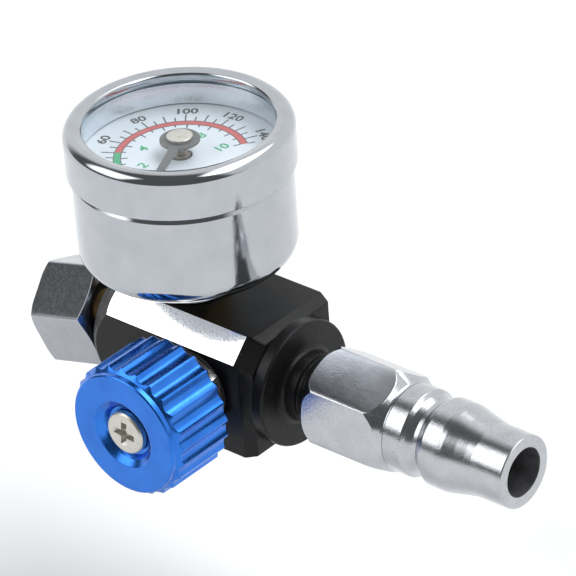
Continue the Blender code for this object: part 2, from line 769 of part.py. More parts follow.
def gauge_socket():
    hexagon, limit = hex_blank("gauge_socket", SOCKET_AF, SOCKET_HEX_LOW, SOCKET_HEX_TOP, 0.4, 0.4)
    finish_with(hexagon, "brass")
    stem = [
        (0, STEM_LOW),
        (STEM_R - 0.4, STEM_LOW),
        (STEM_R, STEM_LOW + 0.4),
        (STEM_R, SOCKET_HEX_LOW + 1),
        (5.4, SOCKET_HEX_TOP - 1),
        (5.4, 20.0),
        (0, 20.0),
    ]
    keep_inside(on_gauge(hexagon, 30.0), on_gauge(limit))
    join(
        hexagon,
        on_gauge(turned("socket_stem", stem, segments=32)),
        on_gauge(box("socket_block", -10.4, -4.2, 19.1, 10.4, 4.2, 23.0)),
        on_gauge(box("socket_post", -3.6, -3.6, 22.5, 3.6, 3.6, 29.3)),
        on_gauge(box("socket_arm", -3.0, -15.2, 23.6, 3.0, -3.0, 29.0)),
    )
    cut(
        hexagon,
        on_gauge(cylinder("cut_socket_feed", 1.2, STEM_LOW - 1, 26.4, segments=12)),
        aim(cylinder("cut_socket_feed_arm", 1.0, -0.5, 13.2, segments=12), (0, 0, FLOW_Z + 26.0), VALVE_AXIS),
        aim(cylinder("cut_feed_outlet", 0.6, 0.0, 4.0, segments=12), (0, -12.9, FLOW_Z + 26.0), FLOW_AXIS),
    )
    for side in (-1, 1):
        hole = cylinder(f"cut_socket_screw_{side + 1}", 1.3, 18.0, 22.2, segments=12)
        cut(hexagon, aim(hole, (CASE_SCREW_X * side, 0, FLOW_Z), UP))


def gauge_stem_seal():
    on_gauge(turned("gauge_stem_seal", ring_profile(4.9, 6.4, HALF + 0.25, HALF + 0.75), "white_seal", 32))


def case_screws():
    profile = [
        (0, CASE_BOTTOM - 1.3),
        (1.5, CASE_BOTTOM - 1.3),
        (1.9, CASE_BOTTOM - 0.9),
        (1.9, CASE_BOTTOM - 0.2),
        (0.95, CASE_BOTTOM - 0.2),
        (0.95, 21.4),
        (0, 21.4),
    ]
    for side, name in ((-1, "case_screw_outlet_side"), (1, "case_screw_inlet_side")):
        aim(turned(name, profile, "nickel_steel", 16), (CASE_SCREW_X * side, 0, FLOW_Z), UP)


def toothed_outline(teeth, base_r, tip_r, tooth_share, first, count):
    """Corner points of the teeth numbered from first, each centred on a whole number of pitches."""
    pitch = 2 * math.pi / teeth
    outline = []
    for tooth in range(first, first + count):
        middle = tooth * pitch
        for radius, side in ((base_r, -1.15), (tip_r, -0.6), (tip_r, 0.6), (base_r, 1.15)):
            angle = middle + side * tooth_share * pitch / 2
            outline.append((radius * math.cos(angle), radius * math.sin(angle)))
    return outline


SECTOR_PITCH_R = GEAR_MODULE * SECTOR_TEETH / 2
PINION_PITCH_R = GEAR_MODULE * PINION_TEETH / 2
TOOTH_ADDENDUM, TOOTH_DEDENDUM, TOOTH_SHARE = 0.26, 0.36, 0.36


def sector_pivot():
    """The sector's pivot (mm, about the gauge axis)."""
    distance = SECTOR_PITCH_R + PINION_PITCH_R
    turn = math.radians(SECTOR_DIRECTION_DEG)
    return distance * math.cos(turn), distance * math.sin(turn)


def arbor_and_pinion():
    """The pinion has a gap on the line to the sector's pivot, where the sector has a tooth."""
    low, high = SECTOR_Z - 0.3, SECTOR_Z + SECTOR_THICK + 0.3
    root, crown = PINION_PITCH_R - TOOTH_DEDENDUM, PINION_PITCH_R + TOOTH_ADDENDUM
    outline = toothed_outline(PINION_TEETH, root, crown, TOOTH_SHARE, 0, PINION_TEETH)
    half_pitch = 180.0 / PINION_TEETH
    arbor = on_gauge(prism("pointer_arbor", outline, low, high, "brass"), SECTOR_DIRECTION_DEG + half_pitch)
    join(arbor, on_gauge(cylinder("arbor_shaft", ARBOR_R, PLATE_LOW_Z + 0.1, 40.1, segments=16)))


def sector_gear():
    x, y = sector_pivot()
    to_pinion = SECTOR_DIRECTION_DEG + 180.0
    pitch_deg = 360.0 / SECTOR_TEETH
    swing = SCALE_SWEEP_DEG * PINION_TEETH / SECTOR_TEETH
    first = -1 - int(swing / pitch_deg) - 1
    count = int(swing / pitch_deg) + 4
    rim = toothed_outline(
        SECTOR_TEETH,
        SECTOR_PITCH_R - TOOTH_DEDENDUM,
        SECTOR_PITCH_R + TOOTH_ADDENDUM,
        TOOTH_SHARE,
        first,
        count,
    )
    last_angle = (first + count - 1) * math.radians(pitch_deg)
    first_angle = first * math.radians(pitch_deg)
    inner = SECTOR_PITCH_R - 2.0
    closing = [
        (inner * math.cos(last_angle), inner * math.sin(last_angle)),
        (1.2 * math.cos(last_angle), 1.2 * math.sin(last_angle)),
        (1.2 * math.cos(first_angle), 1.2 * math.sin(first_angle)),
        (inner * math.cos(first_angle), inner * math.sin(first_angle)),
    ]
    low, high = SECTOR_Z, SECTOR_Z + SECTOR_THICK
    origin = (x, y, FLOW_Z)
    gear = aim(prism("sector_gear", rim + closing, low, high, "brass"), origin, UP, to_pinion)
    boss = cylinder("sector_boss", 1.5, low - 0.3, high + 0.3, segments=20)
    shaft = cylinder("sector_shaft", 0.5, PLATE_LOW_Z + 0.1, PLATE_UP_Z + PLATE_THICK - 0.1, segments=12)
    arm = prism("sector_tail", rectangle(-TAIL_ARM - 0.9, -0.9, 0.0, 0.9), low + 0.1, high - 0.1)
    pin = cylinder("sector_tail_pin", 0.45, LINK_Z - 0.2, low + 0.4, segments=12)
    join(
        gear,
        aim(boss, origin, UP),
        aim(shaft, origin, UP),
        aim(arm, origin, UP, to_pinion + SECTOR_TAIL_TURN),
        aim(pin, (*tail_pin_place(), FLOW_Z), UP),
    )


SECTOR_TAIL_TURN = 40.0


def tail_pin_place():
    x, y = sector_pivot()
    turn = math.radians(SECTOR_DIRECTION_DEG + SECTOR_TAIL_TURN)
    return x + TAIL_ARM * math.cos(turn), y + TAIL_ARM * math.sin(turn)


def tube_point(angle_deg, radius=TUBE_R):
    turn = math.radians(angle_deg)
    return radius * math.cos(turn), radius * math.sin(turn)


def bourdon_tube():
    """A flattened tube bent to a C, with an oval section that is taller than it is thick."""
    sides, steps = 10, 24
    bm = bmesh.new()
    rings = []
    for step in range(steps + 1):
        angle = TUBE_START_DEG + (TUBE_END_DEG - TUBE_START_DEG) * step / steps
        ring = []
        for side in range(sides):
            around = 2 * math.pi * side / sides
            x, y = tube_point(angle, TUBE_R + TUBE_HALF_THICK * math.cos(around))
            ring.append(bm.verts.new((x * MM, y * MM, (TUBE_Z + TUBE_HALF_HEIGHT * math.sin(around)) * MM)))
        rings.append(ring)
    for near, far in zip(rings, rings[1:]):
        for k in range(sides):
            bm.faces.new((near[k - 1], near[k], far[k], far[k - 1]))
    bm.faces.new(rings[0])
    bm.faces.new(rings[-1][::-1])
    on_gauge(mesh_object("bourdon_tube", bm, "phosphor_bronze", smooth_deg=50.0))


TIP_PIN_DEG = TUBE_END_DEG + 7.0


def bourdon_tip():
    x, y = tube_point(TIP_PIN_DEG)
    block = box("bourdon_tip", -1.2, -1.1, TUBE_Z - 2.0, 1.2, 1.1, TUBE_Z + 2.2, "brass")
    aim(block, (x, y, FLOW_Z), UP, TIP_PIN_DEG)
    join(block, aim(cylinder("tip_pin", 0.45, TUBE_Z + 1.5, LINK_Z - 0.2, segments=12), (x, y, FLOW_Z), UP))


def movement_link():
    """The flat link from the tube's tip to the sector's tail, with an eye at each end."""
    tail = Vector(tail_pin_place())
    along = Vector(tube_point(TIP_PIN_DEG)) - tail
    length = along.length
    turn = math.degrees(math.atan2(along.y, along.x))
    half, eye = 0.6, 1.1
    far_eye = [(length + eye * math.cos(a), eye * math.sin(a)) for a in (-2.3, -1.15, 0.0, 1.15, 2.3)]
    near_eye = [(eye * math.cos(a), eye * math.sin(a)) for a in (0.84, 2.0, math.pi, -2.0, -0.84)]
    far_start, far_end = (length - 1.2, -half), (length - 1.2, half)
    outline = [*near_eye[-1:], (1.2, -half), far_start, *far_eye, far_end, (1.2, half)]
    outline += near_eye[:-1]
    origin = (tail.x, tail.y, FLOW_Z)
    link = prism("movement_link", outline, LINK_Z, LINK_Z + LINK_THICK, "nickel_steel")
    aim(link, origin, UP, turn)
    for end, where in (("tail", 0.0), ("tip", length)):
        turn_rad = math.radians(turn)
        place = (tail.x + where * math.cos(turn_rad), tail.y + where * math.sin(turn_rad), FLOW_Z)
        cut(link, aim(cylinder(f"cut_link_{end}", 0.65, LINK_Z - 1, LINK_Z + 1, segments=12), place, UP))


def movement_plates():
    turn = SECTOR_DIRECTION_DEG
    half = PLATE_HALF_WIDTH
    outline = [(-6.0, 1 - half), (-5.0, -half), (10.2, -half), (11.2, 1 - half)]
    outline += [(11.2, half - 1), (10.2, half)]
    outline += [(-5.0, half), (-6.0, half - 1)]
    pivot = sector_pivot()
    for name, low in (("movement_lower_plate", PLATE_LOW_Z), ("movement_upper_plate", PLATE_UP_Z)):
        plate = on_gauge(prism(name, outline, low, low + PLATE_THICK, "brass"), turn)
        if name == "movement_upper_plate":
            join(plate, on_gauge(cylinder("plate_boss", 1.6, low + 0.2, DIAL_TOP - 0.05, segments=20)))
        cut(
            plate,
            on_gauge(cylinder(name + "_arbor_hole", ARBOR_R + 0.25, low - 1, low + 4, segments=12)),
            aim(cylinder(name + "_sector_hole", 0.75, low - 1, low + 2, segments=12), (*pivot, FLOW_Z), UP),
        )
    for name, along, across in (
        ("movement_pillar_front", -4.6, -3.0),
        ("movement_pillar_back", -4.6, 3.0),
    ):
        direction = math.radians(turn)
        x = along * math.cos(direction) - across * math.sin(direction)
        y = along * math.sin(direction) + across * math.cos(direction)
        profile = ring_profile(0, 0.9, PLATE_LOW_Z + PLATE_THICK + 0.2, PLATE_UP_Z - 0.2, 0.2)
        aim(turned(name, profile, "brass", 16), (x, y, FLOW_Z), UP)


def hairspring():
    """A flat spiral of thin strip round the arbor, above the sector."""
    turns, per_turn = 3, 18
    inner, outer, half_thick = 1.0, 3.6, 0.07
    low, high = 33.4, 33.9
    bm = bmesh.new()
    rings = []
    for step in range(turns * per_turn + 1):
        share = step / (turns * per_turn)
        turn = 2 * math.pi * turns * share
        middle = inner + (outer - inner) * share
        ring = []
        for radius, height in (
            (middle - half_thick, low),
            (middle + half_thick, low),
            (middle + half_thick, high),
            (middle - half_thick, high),
        ):
            x, y = radius * math.cos(turn), radius * math.sin(turn)
            ring.append(bm.verts.new((x * MM, y * MM, height * MM)))
        rings.append(ring)
    for near, far in zip(rings, rings[1:]):
        for k in range(4):
            bm.faces.new((near[k - 1], near[k], far[k], far[k - 1]))
    bm.faces.new(rings[0])
    bm.faces.new(rings[-1][::-1])
    on_gauge(mesh_object("hairspring", bm, "phosphor_bronze"))


# ---------------------------------------------------------------- assembly

clear_scene()

regulator_body()
quick_connect_plug()
plug_sealing_washer()

swivel_nut()
nut_gasket()
nut_tailpiece()

bonnet()
bonnet_seal_ring()
valve_spindle()
spindle_rings()
valve_poppet()
valve_seat()
adjusting_knob()
knob_screw()

gauge_case()
gauge_bezel()
lens_stack()
pointer_set()

gauge_socket()
gauge_stem_seal()
case_screws()
arbor_and_pinion()
sector_gear()
bourdon_tube()
bourdon_tip()
movement_link()
movement_plates()
hairspring()
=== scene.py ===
"""Looks for the air pressure regulator: smooth, detailed shells round the CAD frame, its materials, the
printed dial, a pale floor, soft studio light and the camera. Sizes are in millimetres, and MM scales them
to the frame's metres; a profile is a list of (radius, height) corners along its piece's own axis. The
floor's height and the camera's place are in metres."""

import math

import bmesh
import bpy
from mathutils import Matrix, Vector


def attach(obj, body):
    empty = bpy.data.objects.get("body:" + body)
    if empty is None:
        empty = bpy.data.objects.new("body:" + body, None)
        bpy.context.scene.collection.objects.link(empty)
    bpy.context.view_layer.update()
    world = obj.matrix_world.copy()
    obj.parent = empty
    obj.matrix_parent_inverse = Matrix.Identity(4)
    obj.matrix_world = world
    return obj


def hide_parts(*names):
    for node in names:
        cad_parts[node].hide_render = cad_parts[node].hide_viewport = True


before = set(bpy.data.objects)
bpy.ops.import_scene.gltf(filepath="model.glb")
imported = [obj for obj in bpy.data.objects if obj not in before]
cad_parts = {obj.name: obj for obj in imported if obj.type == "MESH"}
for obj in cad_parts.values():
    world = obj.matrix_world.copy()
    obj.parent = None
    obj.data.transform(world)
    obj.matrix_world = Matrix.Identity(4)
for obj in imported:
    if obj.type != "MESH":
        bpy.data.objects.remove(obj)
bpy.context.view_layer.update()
MM = 0.001

# ------------------------------------------------------------------ sizes shared with the CAD (mm)
FLOW_Z = 11.2
KNOB_X = 9.45
NUT_PIVOT_X = -16.5
NUT_DROOP_DEG = 14.9
DIAL_TOP = 37.5
DIAL_TURN_DEG = 6.5
FLOW_AXIS, VALVE_AXIS, UP = (1, 0, 0), (0, -1, 0), (0, 0, 1)
FLOW_ORIGIN = (0, 0, FLOW_Z)
VALVE_ORIGIN = (KNOB_X, 0, FLOW_Z)
NUT_ORIGIN = (NUT_PIVOT_X, 0, FLOW_Z)
NUT_AXIS = (-math.cos(math.radians(NUT_DROOP_DEG)), 0, -math.sin(math.radians(NUT_DROOP_DEG)))


# ------------------------------------------------------------------ material building

NOISE_LOW, NOISE_HIGH = 0.3, 0.7
SPECK_GREY = (0.2, 0.2, 0.21, 1)
DUST_BLUE_GREY = (0.2, 0.21, 0.23, 1)


class Nodes:
    """A short way to build a material's node tree."""

    def __init__(self, name):
        self.material = bpy.data.materials.new(name)
        self.material.use_nodes = True
        self.tree = self.material.node_tree
        self.shader = self.tree.nodes["Principled BSDF"]
        self.coords = self.tree.nodes.new("ShaderNodeTexCoord")

    def add(self, kind, inputs=None, **settings):
        node = self.tree.nodes.new("ShaderNode" + kind)
        for key, value in settings.items():
            setattr(node, key, value)
        for key, value in (inputs or {}).items():
            if isinstance(value, bpy.types.NodeSocket):
                self.tree.links.new(value, node.inputs[key])
            else:
                node.inputs[key].default_value = value
        return node

    def link(self, output, socket):
        self.tree.links.new(output, self.shader.inputs[socket])

    def set(self, **values):
        for key, value in values.items():
            self.shader.inputs[key.replace("_", " ")].default_value = value

    def place(self, scale=(1, 1, 1)):
        """Object coordinates in millimetres, stretched by scale."""
        mapping = self.add("Mapping", {"Vector": self.coords.outputs["Object"]})
        mapping.inputs["Scale"].default_value = [s / MM for s in scale]
        return mapping.outputs["Vector"]

    def noise(self, size_mm, detail, scale=(1, 1, 1)):
        inputs = {"Vector": self.place(scale), "Scale": 1.0 / size_mm, "Detail": detail}
        return self.add("TexNoise", inputs).outputs["Fac"]

    def ramp(self, value, stops):
        node = self.add("ValToRGB", {"Fac": value})
        ramp = node.color_ramp
        while len(ramp.elements) < len(stops):
            ramp.elements.new(0.5)
        for element, (position, colour) in zip(ramp.elements, stops):
            element.position = position
            element.color = (*colour, 1.0)
        return node.outputs["Color"]

    def shades(self, noise, dark, light):
        """A colour that wanders between two over the noise's usual range."""
        return self.ramp(noise, [(NOISE_LOW, dark), (NOISE_HIGH, light)])

    def spread(self, value, low, high, to_low, to_high):
        node = self.add("MapRange", {"Value": value})
        for key, number in (("From Min", low), ("From Max", high), ("To Min", to_low), ("To Max", to_high)):
            node.inputs[key].default_value = number
        return node.outputs["Result"]

    def vary(self, noise, low, high):
        """A number that wanders between two over the noise's usual range."""
        return self.spread(noise, NOISE_LOW, NOISE_HIGH, low, high)

    def bump(self, height, strength, distance_mm, normal=None):
        inputs = {"Height": height, "Strength": strength, "Distance": distance_mm * MM}
        if normal is not None:
            inputs["Normal"] = normal
        return self.add("Bump", inputs).outputs["Normal"]


def plated(name, tint, rough=(0.1, 0.2), grain_mm=0.35, grain=0.06, wave_mm=6.0, wave=0.1, mottle=0.05):
    """Bright plating: a little orange peel, fine grain from the metal below and a patchy shine."""
    n = Nodes(name)
    n.set(Metallic=1.0)
    patches = n.noise(wave_mm * 0.7, 4.0)
    fine = n.noise(grain_mm, 2.0)
    low = [c * (1 - mottle) for c in tint]
    high = [min(1.0, c * (1 + mottle)) for c in tint]
    n.link(n.shades(patches, low, high), "Base Color")
    n.link(n.vary(fine, *rough), "Roughness")
    waves = n.bump(n.noise(wave_mm, 1.0), wave, 0.3)
    n.link(n.bump(fine, grain, 0.06, waves), "Normal")
    return n.material


def speckled_plate(name, tint, grain):
    """Thin plating over machined steel: the base's fine pits and grains show through as specks."""
    n = Nodes(name)
    n.set(Metallic=1.0)
    patches = n.noise(3.5, 4.0)
    grains = n.noise(0.2, 3.0)
    low = [c * 0.93 for c in tint]
    high = [min(1.0, c * 1.05) for c in tint]
    base = n.shades(patches, low, high)
    pits = n.spread(grains, 0.57, 0.66, 0.0, 0.5)
    dark = n.add("MixRGB", {"Fac": pits, "Color1": base, "Color2": SPECK_GREY})
    n.link(dark.outputs["Color"], "Base Color")
    n.link(n.vary(n.noise(0.5, 3.0), 0.13, 0.22), "Roughness")
    waves = n.bump(n.noise(5.0, 1.0), 0.08, 0.3)
    n.link(n.bump(grains, grain, 0.05, waves), "Normal")
    return n.material


def turned_metal(name, tint, rough=(0.22, 0.34), pitch_mm=0.12, strength=0.12, specks=0.1):
    """Metal turned on a lathe: fine rings round local Z and a little dirt."""
    n = Nodes(name)
    n.set(Metallic=1.0)
    patches = n.noise(1.2, 4.0)
    low = [c * (1 - specks) for c in tint]
    n.link(n.ramp(patches, [(0.35, low), (0.6, tint)]), "Base Color")
    n.link(n.vary(n.noise(0.5, 3.0), *rough), "Roughness")
    rings = n.add(
        "TexWave",
        {"Vector": n.place(), "Scale": 0.5 / pitch_mm / math.pi, "Distortion": 0.6, "Detail": 2.0},
        wave_type="RINGS",
        rings_direction="Z",
    )
    n.link(n.bump(rings.outputs["Fac"], strength, 0.02), "Normal")
    return n.material


def black_anodised():
    n = Nodes("black_anodised")
    n.set(Metallic=0.0, Specular_IOR_Level=0.22)
    shade = n.noise(9.0, 3.0)
    specks = n.noise(0.28, 1.0)
    base = n.shades(shade, (0.0055, 0.0055, 0.006), (0.0085, 0.0085, 0.009))
    dust = n.spread(specks, 0.71, 0.76, 0.0, 0.4)
    mixed = n.add("MixRGB", {"Fac": dust, "Color1": base, "Color2": DUST_BLUE_GREY})
    n.link(mixed.outputs["Color"], "Base Color")
    n.link(n.vary(n.noise(1.5, 4.0), 0.3, 0.42), "Roughness")
    n.link(n.bump(n.noise(0.09, 2.0), 0.25, 0.02), "Normal")
    return n.material


def blue_anodised(name, rough, grain):
    n = Nodes(name)
    n.set(Metallic=1.0, Coat_Weight=0.25, Coat_Roughness=0.12)
    shade = n.noise(5.0, 3.0)
    n.link(n.shades(shade, (0.02, 0.15, 0.6), (0.03, 0.19, 0.7)), "Base Color")
    n.link(n.vary(n.noise(0.4, 2.0), *rough), "Roughness")
    n.link(n.bump(n.noise(0.12, 2.0), grain, 0.02), "Normal")
    return n.material


def polished_flat():
    """The bare corner bevel: fine lengthwise polishing lines."""
    n = Nodes("polished_flat")
    n.set(Metallic=1.0)
    streaks = n.noise(0.25, 3.0, scale=(0.02, 1, 1))
    n.link(n.ramp(streaks, [(0.3, (0.74, 0.75, 0.78)), (0.6, (0.93, 0.94, 0.96))]), "Base Color")
    n.link(n.vary(streaks, 0.08, 0.2), "Roughness")
    n.link(n.bump(streaks, 0.12, 0.02), "Normal")
    return n.material


def dial_paint():
    n = Nodes("dial_paint")
    shade = n.noise(14.0, 2.0)
    n.link(n.shades(shade, (0.82, 0.88, 0.95), (0.87, 0.92, 0.97)), "Base Color")
    n.link(n.vary(n.noise(0.3, 2.0), 0.32, 0.42), "Roughness")
    n.link(n.bump(n.noise(0.12, 2.0), 0.08, 0.01), "Normal")
    return n.material


def ink(name, colour, vary=0.12):
    n = Nodes(name)
    low = [c * (1 - vary) for c in colour]
    n.link(n.shades(n.noise(0.4, 3.0), low, colour), "Base Color")
    n.link(n.vary(n.noise(0.2, 2.0), 0.4, 0.5), "Roughness")
    return n.material


def rubber(name, colour):
    n = Nodes(name)
    low = [c * 0.75 for c in colour]
    n.link(n.shades(n.noise(1.0, 4.0), low, colour), "Base Color")
    n.link(n.vary(n.noise(0.6, 3.0), 0.5, 0.7), "Roughness")
    n.link(n.bump(n.noise(0.15, 3.0), 0.2, 0.03), "Normal")
    return n.material


def clear_lens():
    """Thin clear glass: it lets light straight through and keeps the gloss of its two faces."""
    n = Nodes("clear_lens")
    tree = n.tree
    tree.nodes.remove(n.shader)
    output = tree.nodes["Material Output"]
    through = n.add("BsdfTransparent", {"Color": (0.98, 0.99, 0.995, 1)})
    gloss = n.add("BsdfGlossy", {"Color": (1, 1, 1, 1)})
    smears = n.vary(n.noise(4.0, 3.0), 0.01, 0.03)
    tree.links.new(smears, gloss.inputs["Roughness"])
    fresnel = n.add("Fresnel", {"IOR": 1.49})
    inside = n.add("NewGeometry").outputs["Backfacing"]
    outside = n.add("Math", {0: 1.0, 1: inside}, operation="SUBTRACT")
    shine = n.add("Math", {0: fresnel.outputs[0], 1: outside.outputs[0]}, operation="MULTIPLY")
    mix = n.add("MixShader", {0: shine.outputs[0], 1: through.outputs[0], 2: gloss.outputs[0]})
    tree.links.new(mix.outputs[0], output.inputs["Surface"])
    return n.material


M = {
    "chrome": plated("chrome", (0.455, 0.472, 0.5), (0.07, 0.13), wave=0.05, grain=0.03),
    "bezel_chrome": plated("bezel_chrome", (0.46, 0.478, 0.505), (0.06, 0.1), wave=0.03, grain=0.015),
    "plug_chrome": speckled_plate("plug_chrome", (0.5, 0.508, 0.53), 0.4),
    "nut_chrome": speckled_plate("nut_chrome", (0.4, 0.415, 0.44), 0.12),
    "black": black_anodised(),
    "polished": polished_flat(),
    "blue": blue_anodised("blue_anodised", (0.2, 0.28), 0.08),
    "blue_face": blue_anodised("blue_anodised_face", (0.28, 0.36), 0.1),
    "screw": turned_metal("screw_nickel", (0.62, 0.6, 0.55), (0.3, 0.42), 0.1, 0.08),
    "nickel": turned_metal("nickel", (0.62, 0.61, 0.6)),
    "cap": turned_metal("cap_metal", (0.7, 0.66, 0.59), (0.26, 0.36), 0.14, 0.2),
    "bush": turned_metal("bush_metal", (0.34, 0.3, 0.25), (0.35, 0.45), 0.1, 0.1, 0.25),
    "tail": turned_metal("tail_brass", (0.2, 0.13, 0.05), (0.3, 0.42), 0.1, 0.1, 0.3),
    "bonnet": turned_metal("bonnet_nickel", (0.8, 0.79, 0.77), (0.16, 0.26), 0.14, 0.05),
    "brass": turned_metal("brass", (0.7, 0.5, 0.22)),
    "bronze": turned_metal("bronze", (0.55, 0.36, 0.2)),
    "bore": turned_metal("bore_metal", (0.5, 0.5, 0.52), (0.34, 0.5), 0.3, 0.3, 0.2),
    "ring": plated("spacer_ring", (0.8, 0.86, 0.9), (0.26, 0.36), 0.3, 0.01, 8.0, 0.05, 0.03),
    "rubber": rubber("black_rubber", (0.02, 0.02, 0.02)),
    "seal": rubber("white_seal", (0.72, 0.72, 0.69)),
    "dial": dial_paint(),
    "ink_black": ink("ink_black", (0.045, 0.05, 0.055)),
    "ink_red": ink("ink_red", (0.72, 0.13, 0.13)),
    "ink_green": ink("ink_green", (0.05, 0.5, 0.24)),
    "pointer": ink("pointer_grey", (0.12, 0.12, 0.12)),
    "lens": clear_lens(),
}


# ------------------------------------------------------------------ mesh building


def place_on(obj, origin, axis, turn_deg=0.0):
    """Local Z goes on the axis through the origin (mm)."""
    axis = Vector(axis).normalized()
    side = Vector((0, 0, 1)) if abs(axis.z) < 0.9 else Vector((1, 0, 0))
    across = (side - axis * side.dot(axis)).normalized()
    basis = Matrix((across, axis.cross(across), axis)).transposed().to_4x4()
    spin = Matrix.Rotation(math.radians(turn_deg), 4, "Z")
    obj.matrix_world = Matrix.Translation(Vector(origin) * MM) @ basis @ spin


SHARP_DEG = 32.0
MERGE_DISTANCE, SHORTEST_EDGE = 2e-7, 1e-7  # metres


def piece(name, bm, materials, sharp_deg=SHARP_DEG, weighted=True):
    """Makes a smooth-shaded object of a bmesh, with sharp edges past sharp_deg."""
    bmesh.ops.remove_doubles(bm, verts=bm.verts[:], dist=MERGE_DISTANCE)
    bmesh.ops.recalc_face_normals(bm, faces=bm.faces[:])
    mesh = bpy.data.meshes.new(name)
    bm.to_mesh(mesh)
    bm.free()
    for made in materials:
        mesh.materials.append(made)
    obj = bpy.data.objects.new(name, mesh)
    bpy.context.scene.collection.objects.link(obj)
    mesh.shade_smooth()
    mesh.set_sharp_from_angle(angle=math.radians(sharp_deg))
    if weighted:
        weight = obj.modifiers.new("weighted", "WEIGHTED_NORMAL")
        weight.keep_sharp = True
        weight.weight = 60
    return obj


def hand_in(obj, body, slot, *nodes):
    """Says the body that a piece rides on and the CAD nodes that it stands for; its material slot is not
    used.
    """
    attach(obj, body)
    if nodes:
        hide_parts(*nodes)


FILLET_SHARE = 0.48  # the most of a side that one fillet may use


def rounded(profile, closed):
    """Rounds each corner of an outline of (radius, height, fillet, steps) points; every corner gives
    the same number of points whatever its angle, so that neighbouring outlines can be joined."""
    points = []
    count = len(profile)
    for k, (r, h, fillet, steps) in enumerate(profile):
        here = Vector((r, h))
        if not fillet or (not closed and k in (0, count - 1)):
            points.extend([here] * (steps + 1))
            continue
        back = Vector(profile[k - 1][:2]) - here
        ahead = Vector(profile[(k + 1) % count][:2]) - here
        room = min(back.length, ahead.length) * FILLET_SHARE
        if room < 1e-6:
            points.extend([here] * (steps + 1))
            continue
        one, two = back.normalized(), ahead.normalized()
        reach = min(fillet / max(math.tan(one.angle(two) / 2), 1e-3), room)
        start, end = here + one * reach, here + two * reach
        for step in range(steps + 1):
            t = step / steps
            points.append(start * (1 - t) ** 2 + here * 2 * t * (1 - t) + end * t * t)
    return points


def corner(radius, height, fillet=0.0, steps=0):
    """A profile's corner: its place, its fillet's size and the steps round the fillet."""
    return (radius, height, fillet, steps)


def spun(name, profile_at, angles, materials, closed, sharp_deg=SHARP_DEG):
    """Joins one outline per angle; profile_at(angle) gives corner() points, in mm."""
    bm = bmesh.new()
    columns = []
    pole = {}
    for angle in angles:
        outline = rounded(profile_at(angle), closed)
        column = []
        for k, point in enumerate(outline):
            if point.x < 1e-6:
                if k not in pole:
                    pole[k] = bm.verts.new((0, 0, point.y * MM))
                column.append(pole[k])
            else:
                x, y = point.x * math.cos(angle), point.x * math.sin(angle)
                column.append(bm.verts.new((x * MM, y * MM, point.y * MM)))
        columns.append(column)
    count = len(columns[0])
    rows = range(count if closed else count - 1)
    for c in range(len(columns)):
        here, beside = columns[c - 1], columns[c]
        for k in rows:
            corners = []
            for vert in (here[k], beside[k], beside[(k + 1) % count], here[(k + 1) % count]):
                if vert not in corners:
                    corners.append(vert)
            if len(corners) > 2:
                try:
                    bm.faces.new(corners)
                except ValueError:
                    continue
    bmesh.ops.dissolve_degenerate(bm, dist=SHORTEST_EDGE, edges=bm.edges[:])
    return piece(name, bm, materials, sharp_deg)


def even_angles(count):
    return [2 * math.pi * k / count for k in range(count)]


def lathe(name, profile, look, segments, closed=True):
    return spun(name, lambda angle: profile, even_angles(segments), [M[look]], closed)


def turned(name, profile, look, segments, owner, nodes=(), axis=UP, closed=True):
    """A turned piece on the flow's origin; owner holds its body and a material slot name that nothing uses.
    """
    shell = lathe(name, profile, look, segments, closed)
    place_on(shell, FLOW_ORIGIN, axis)
    hand_in(shell, *owner, *nodes)


def arc(middle, radius, degrees):
    """Corners along an arc about a (radius, height) middle, from 0 outward to 90 upward."""
    turns = [math.radians(a) for a in degrees]
    return [corner(middle[0] + radius * math.cos(a), middle[1] + radius * math.sin(a)) for a in turns]


def hex_angles(per_side=26):
    """Angles round a hexagon, closer together near its corners."""
    crowding = 0.9
    angles = []
    for side in range(6):
        for k in range(per_side):
            t = k / per_side
            eased = t - crowding * math.sin(2 * math.pi * t) / (2 * math.pi)
            angles.append(math.radians(60 * (side + eased)))
    return sorted(a % (2 * math.pi) for a in angles)


def hex_radius(angle, across_flats, round_mm=0.35):
    """A hexagon's outline with corners at 0, 60, ... degrees, each rounded."""
    sixth = math.radians(60)
    soft, soft_reach = 0.12, 1.5
    off = (angle % sixth) - sixth / 2
    flat = across_flats / 2 / math.cos(off)
    limit = across_flats / math.sqrt(3) - round_mm * (2 / math.sqrt(3) - 1)
    if abs(flat - limit) >= soft_reach:
        return min(flat, limit)
    return -soft * math.log(math.exp(-flat / soft) + math.exp(-limit / soft))


CHAMFER_DEG = 30


def chamfered(side_r, face_r, height, outward):
    """The (radius, height) pairs of a hexagon's end: the face's edge, then the chamfer's edge."""
    edge = min(face_r, side_r - 0.1)
    drop = max(0.05, (side_r - face_r) * math.tan(math.radians(CHAMFER_DEG)))
    return (edge, height), (side_r, height - outward * drop)


THREAD_PITCH, THREAD_STEPS = 1.337, 8


def thread_rise(station, angle, depth):
    """How far a helical thread stands out at a station along its axis."""
    phase = (station / THREAD_PITCH - angle / (2 * math.pi)) % 1.0
    return depth * (1 - abs(2 * phase - 1)) ** 0.8


# ------------------------------------------------------------------ body

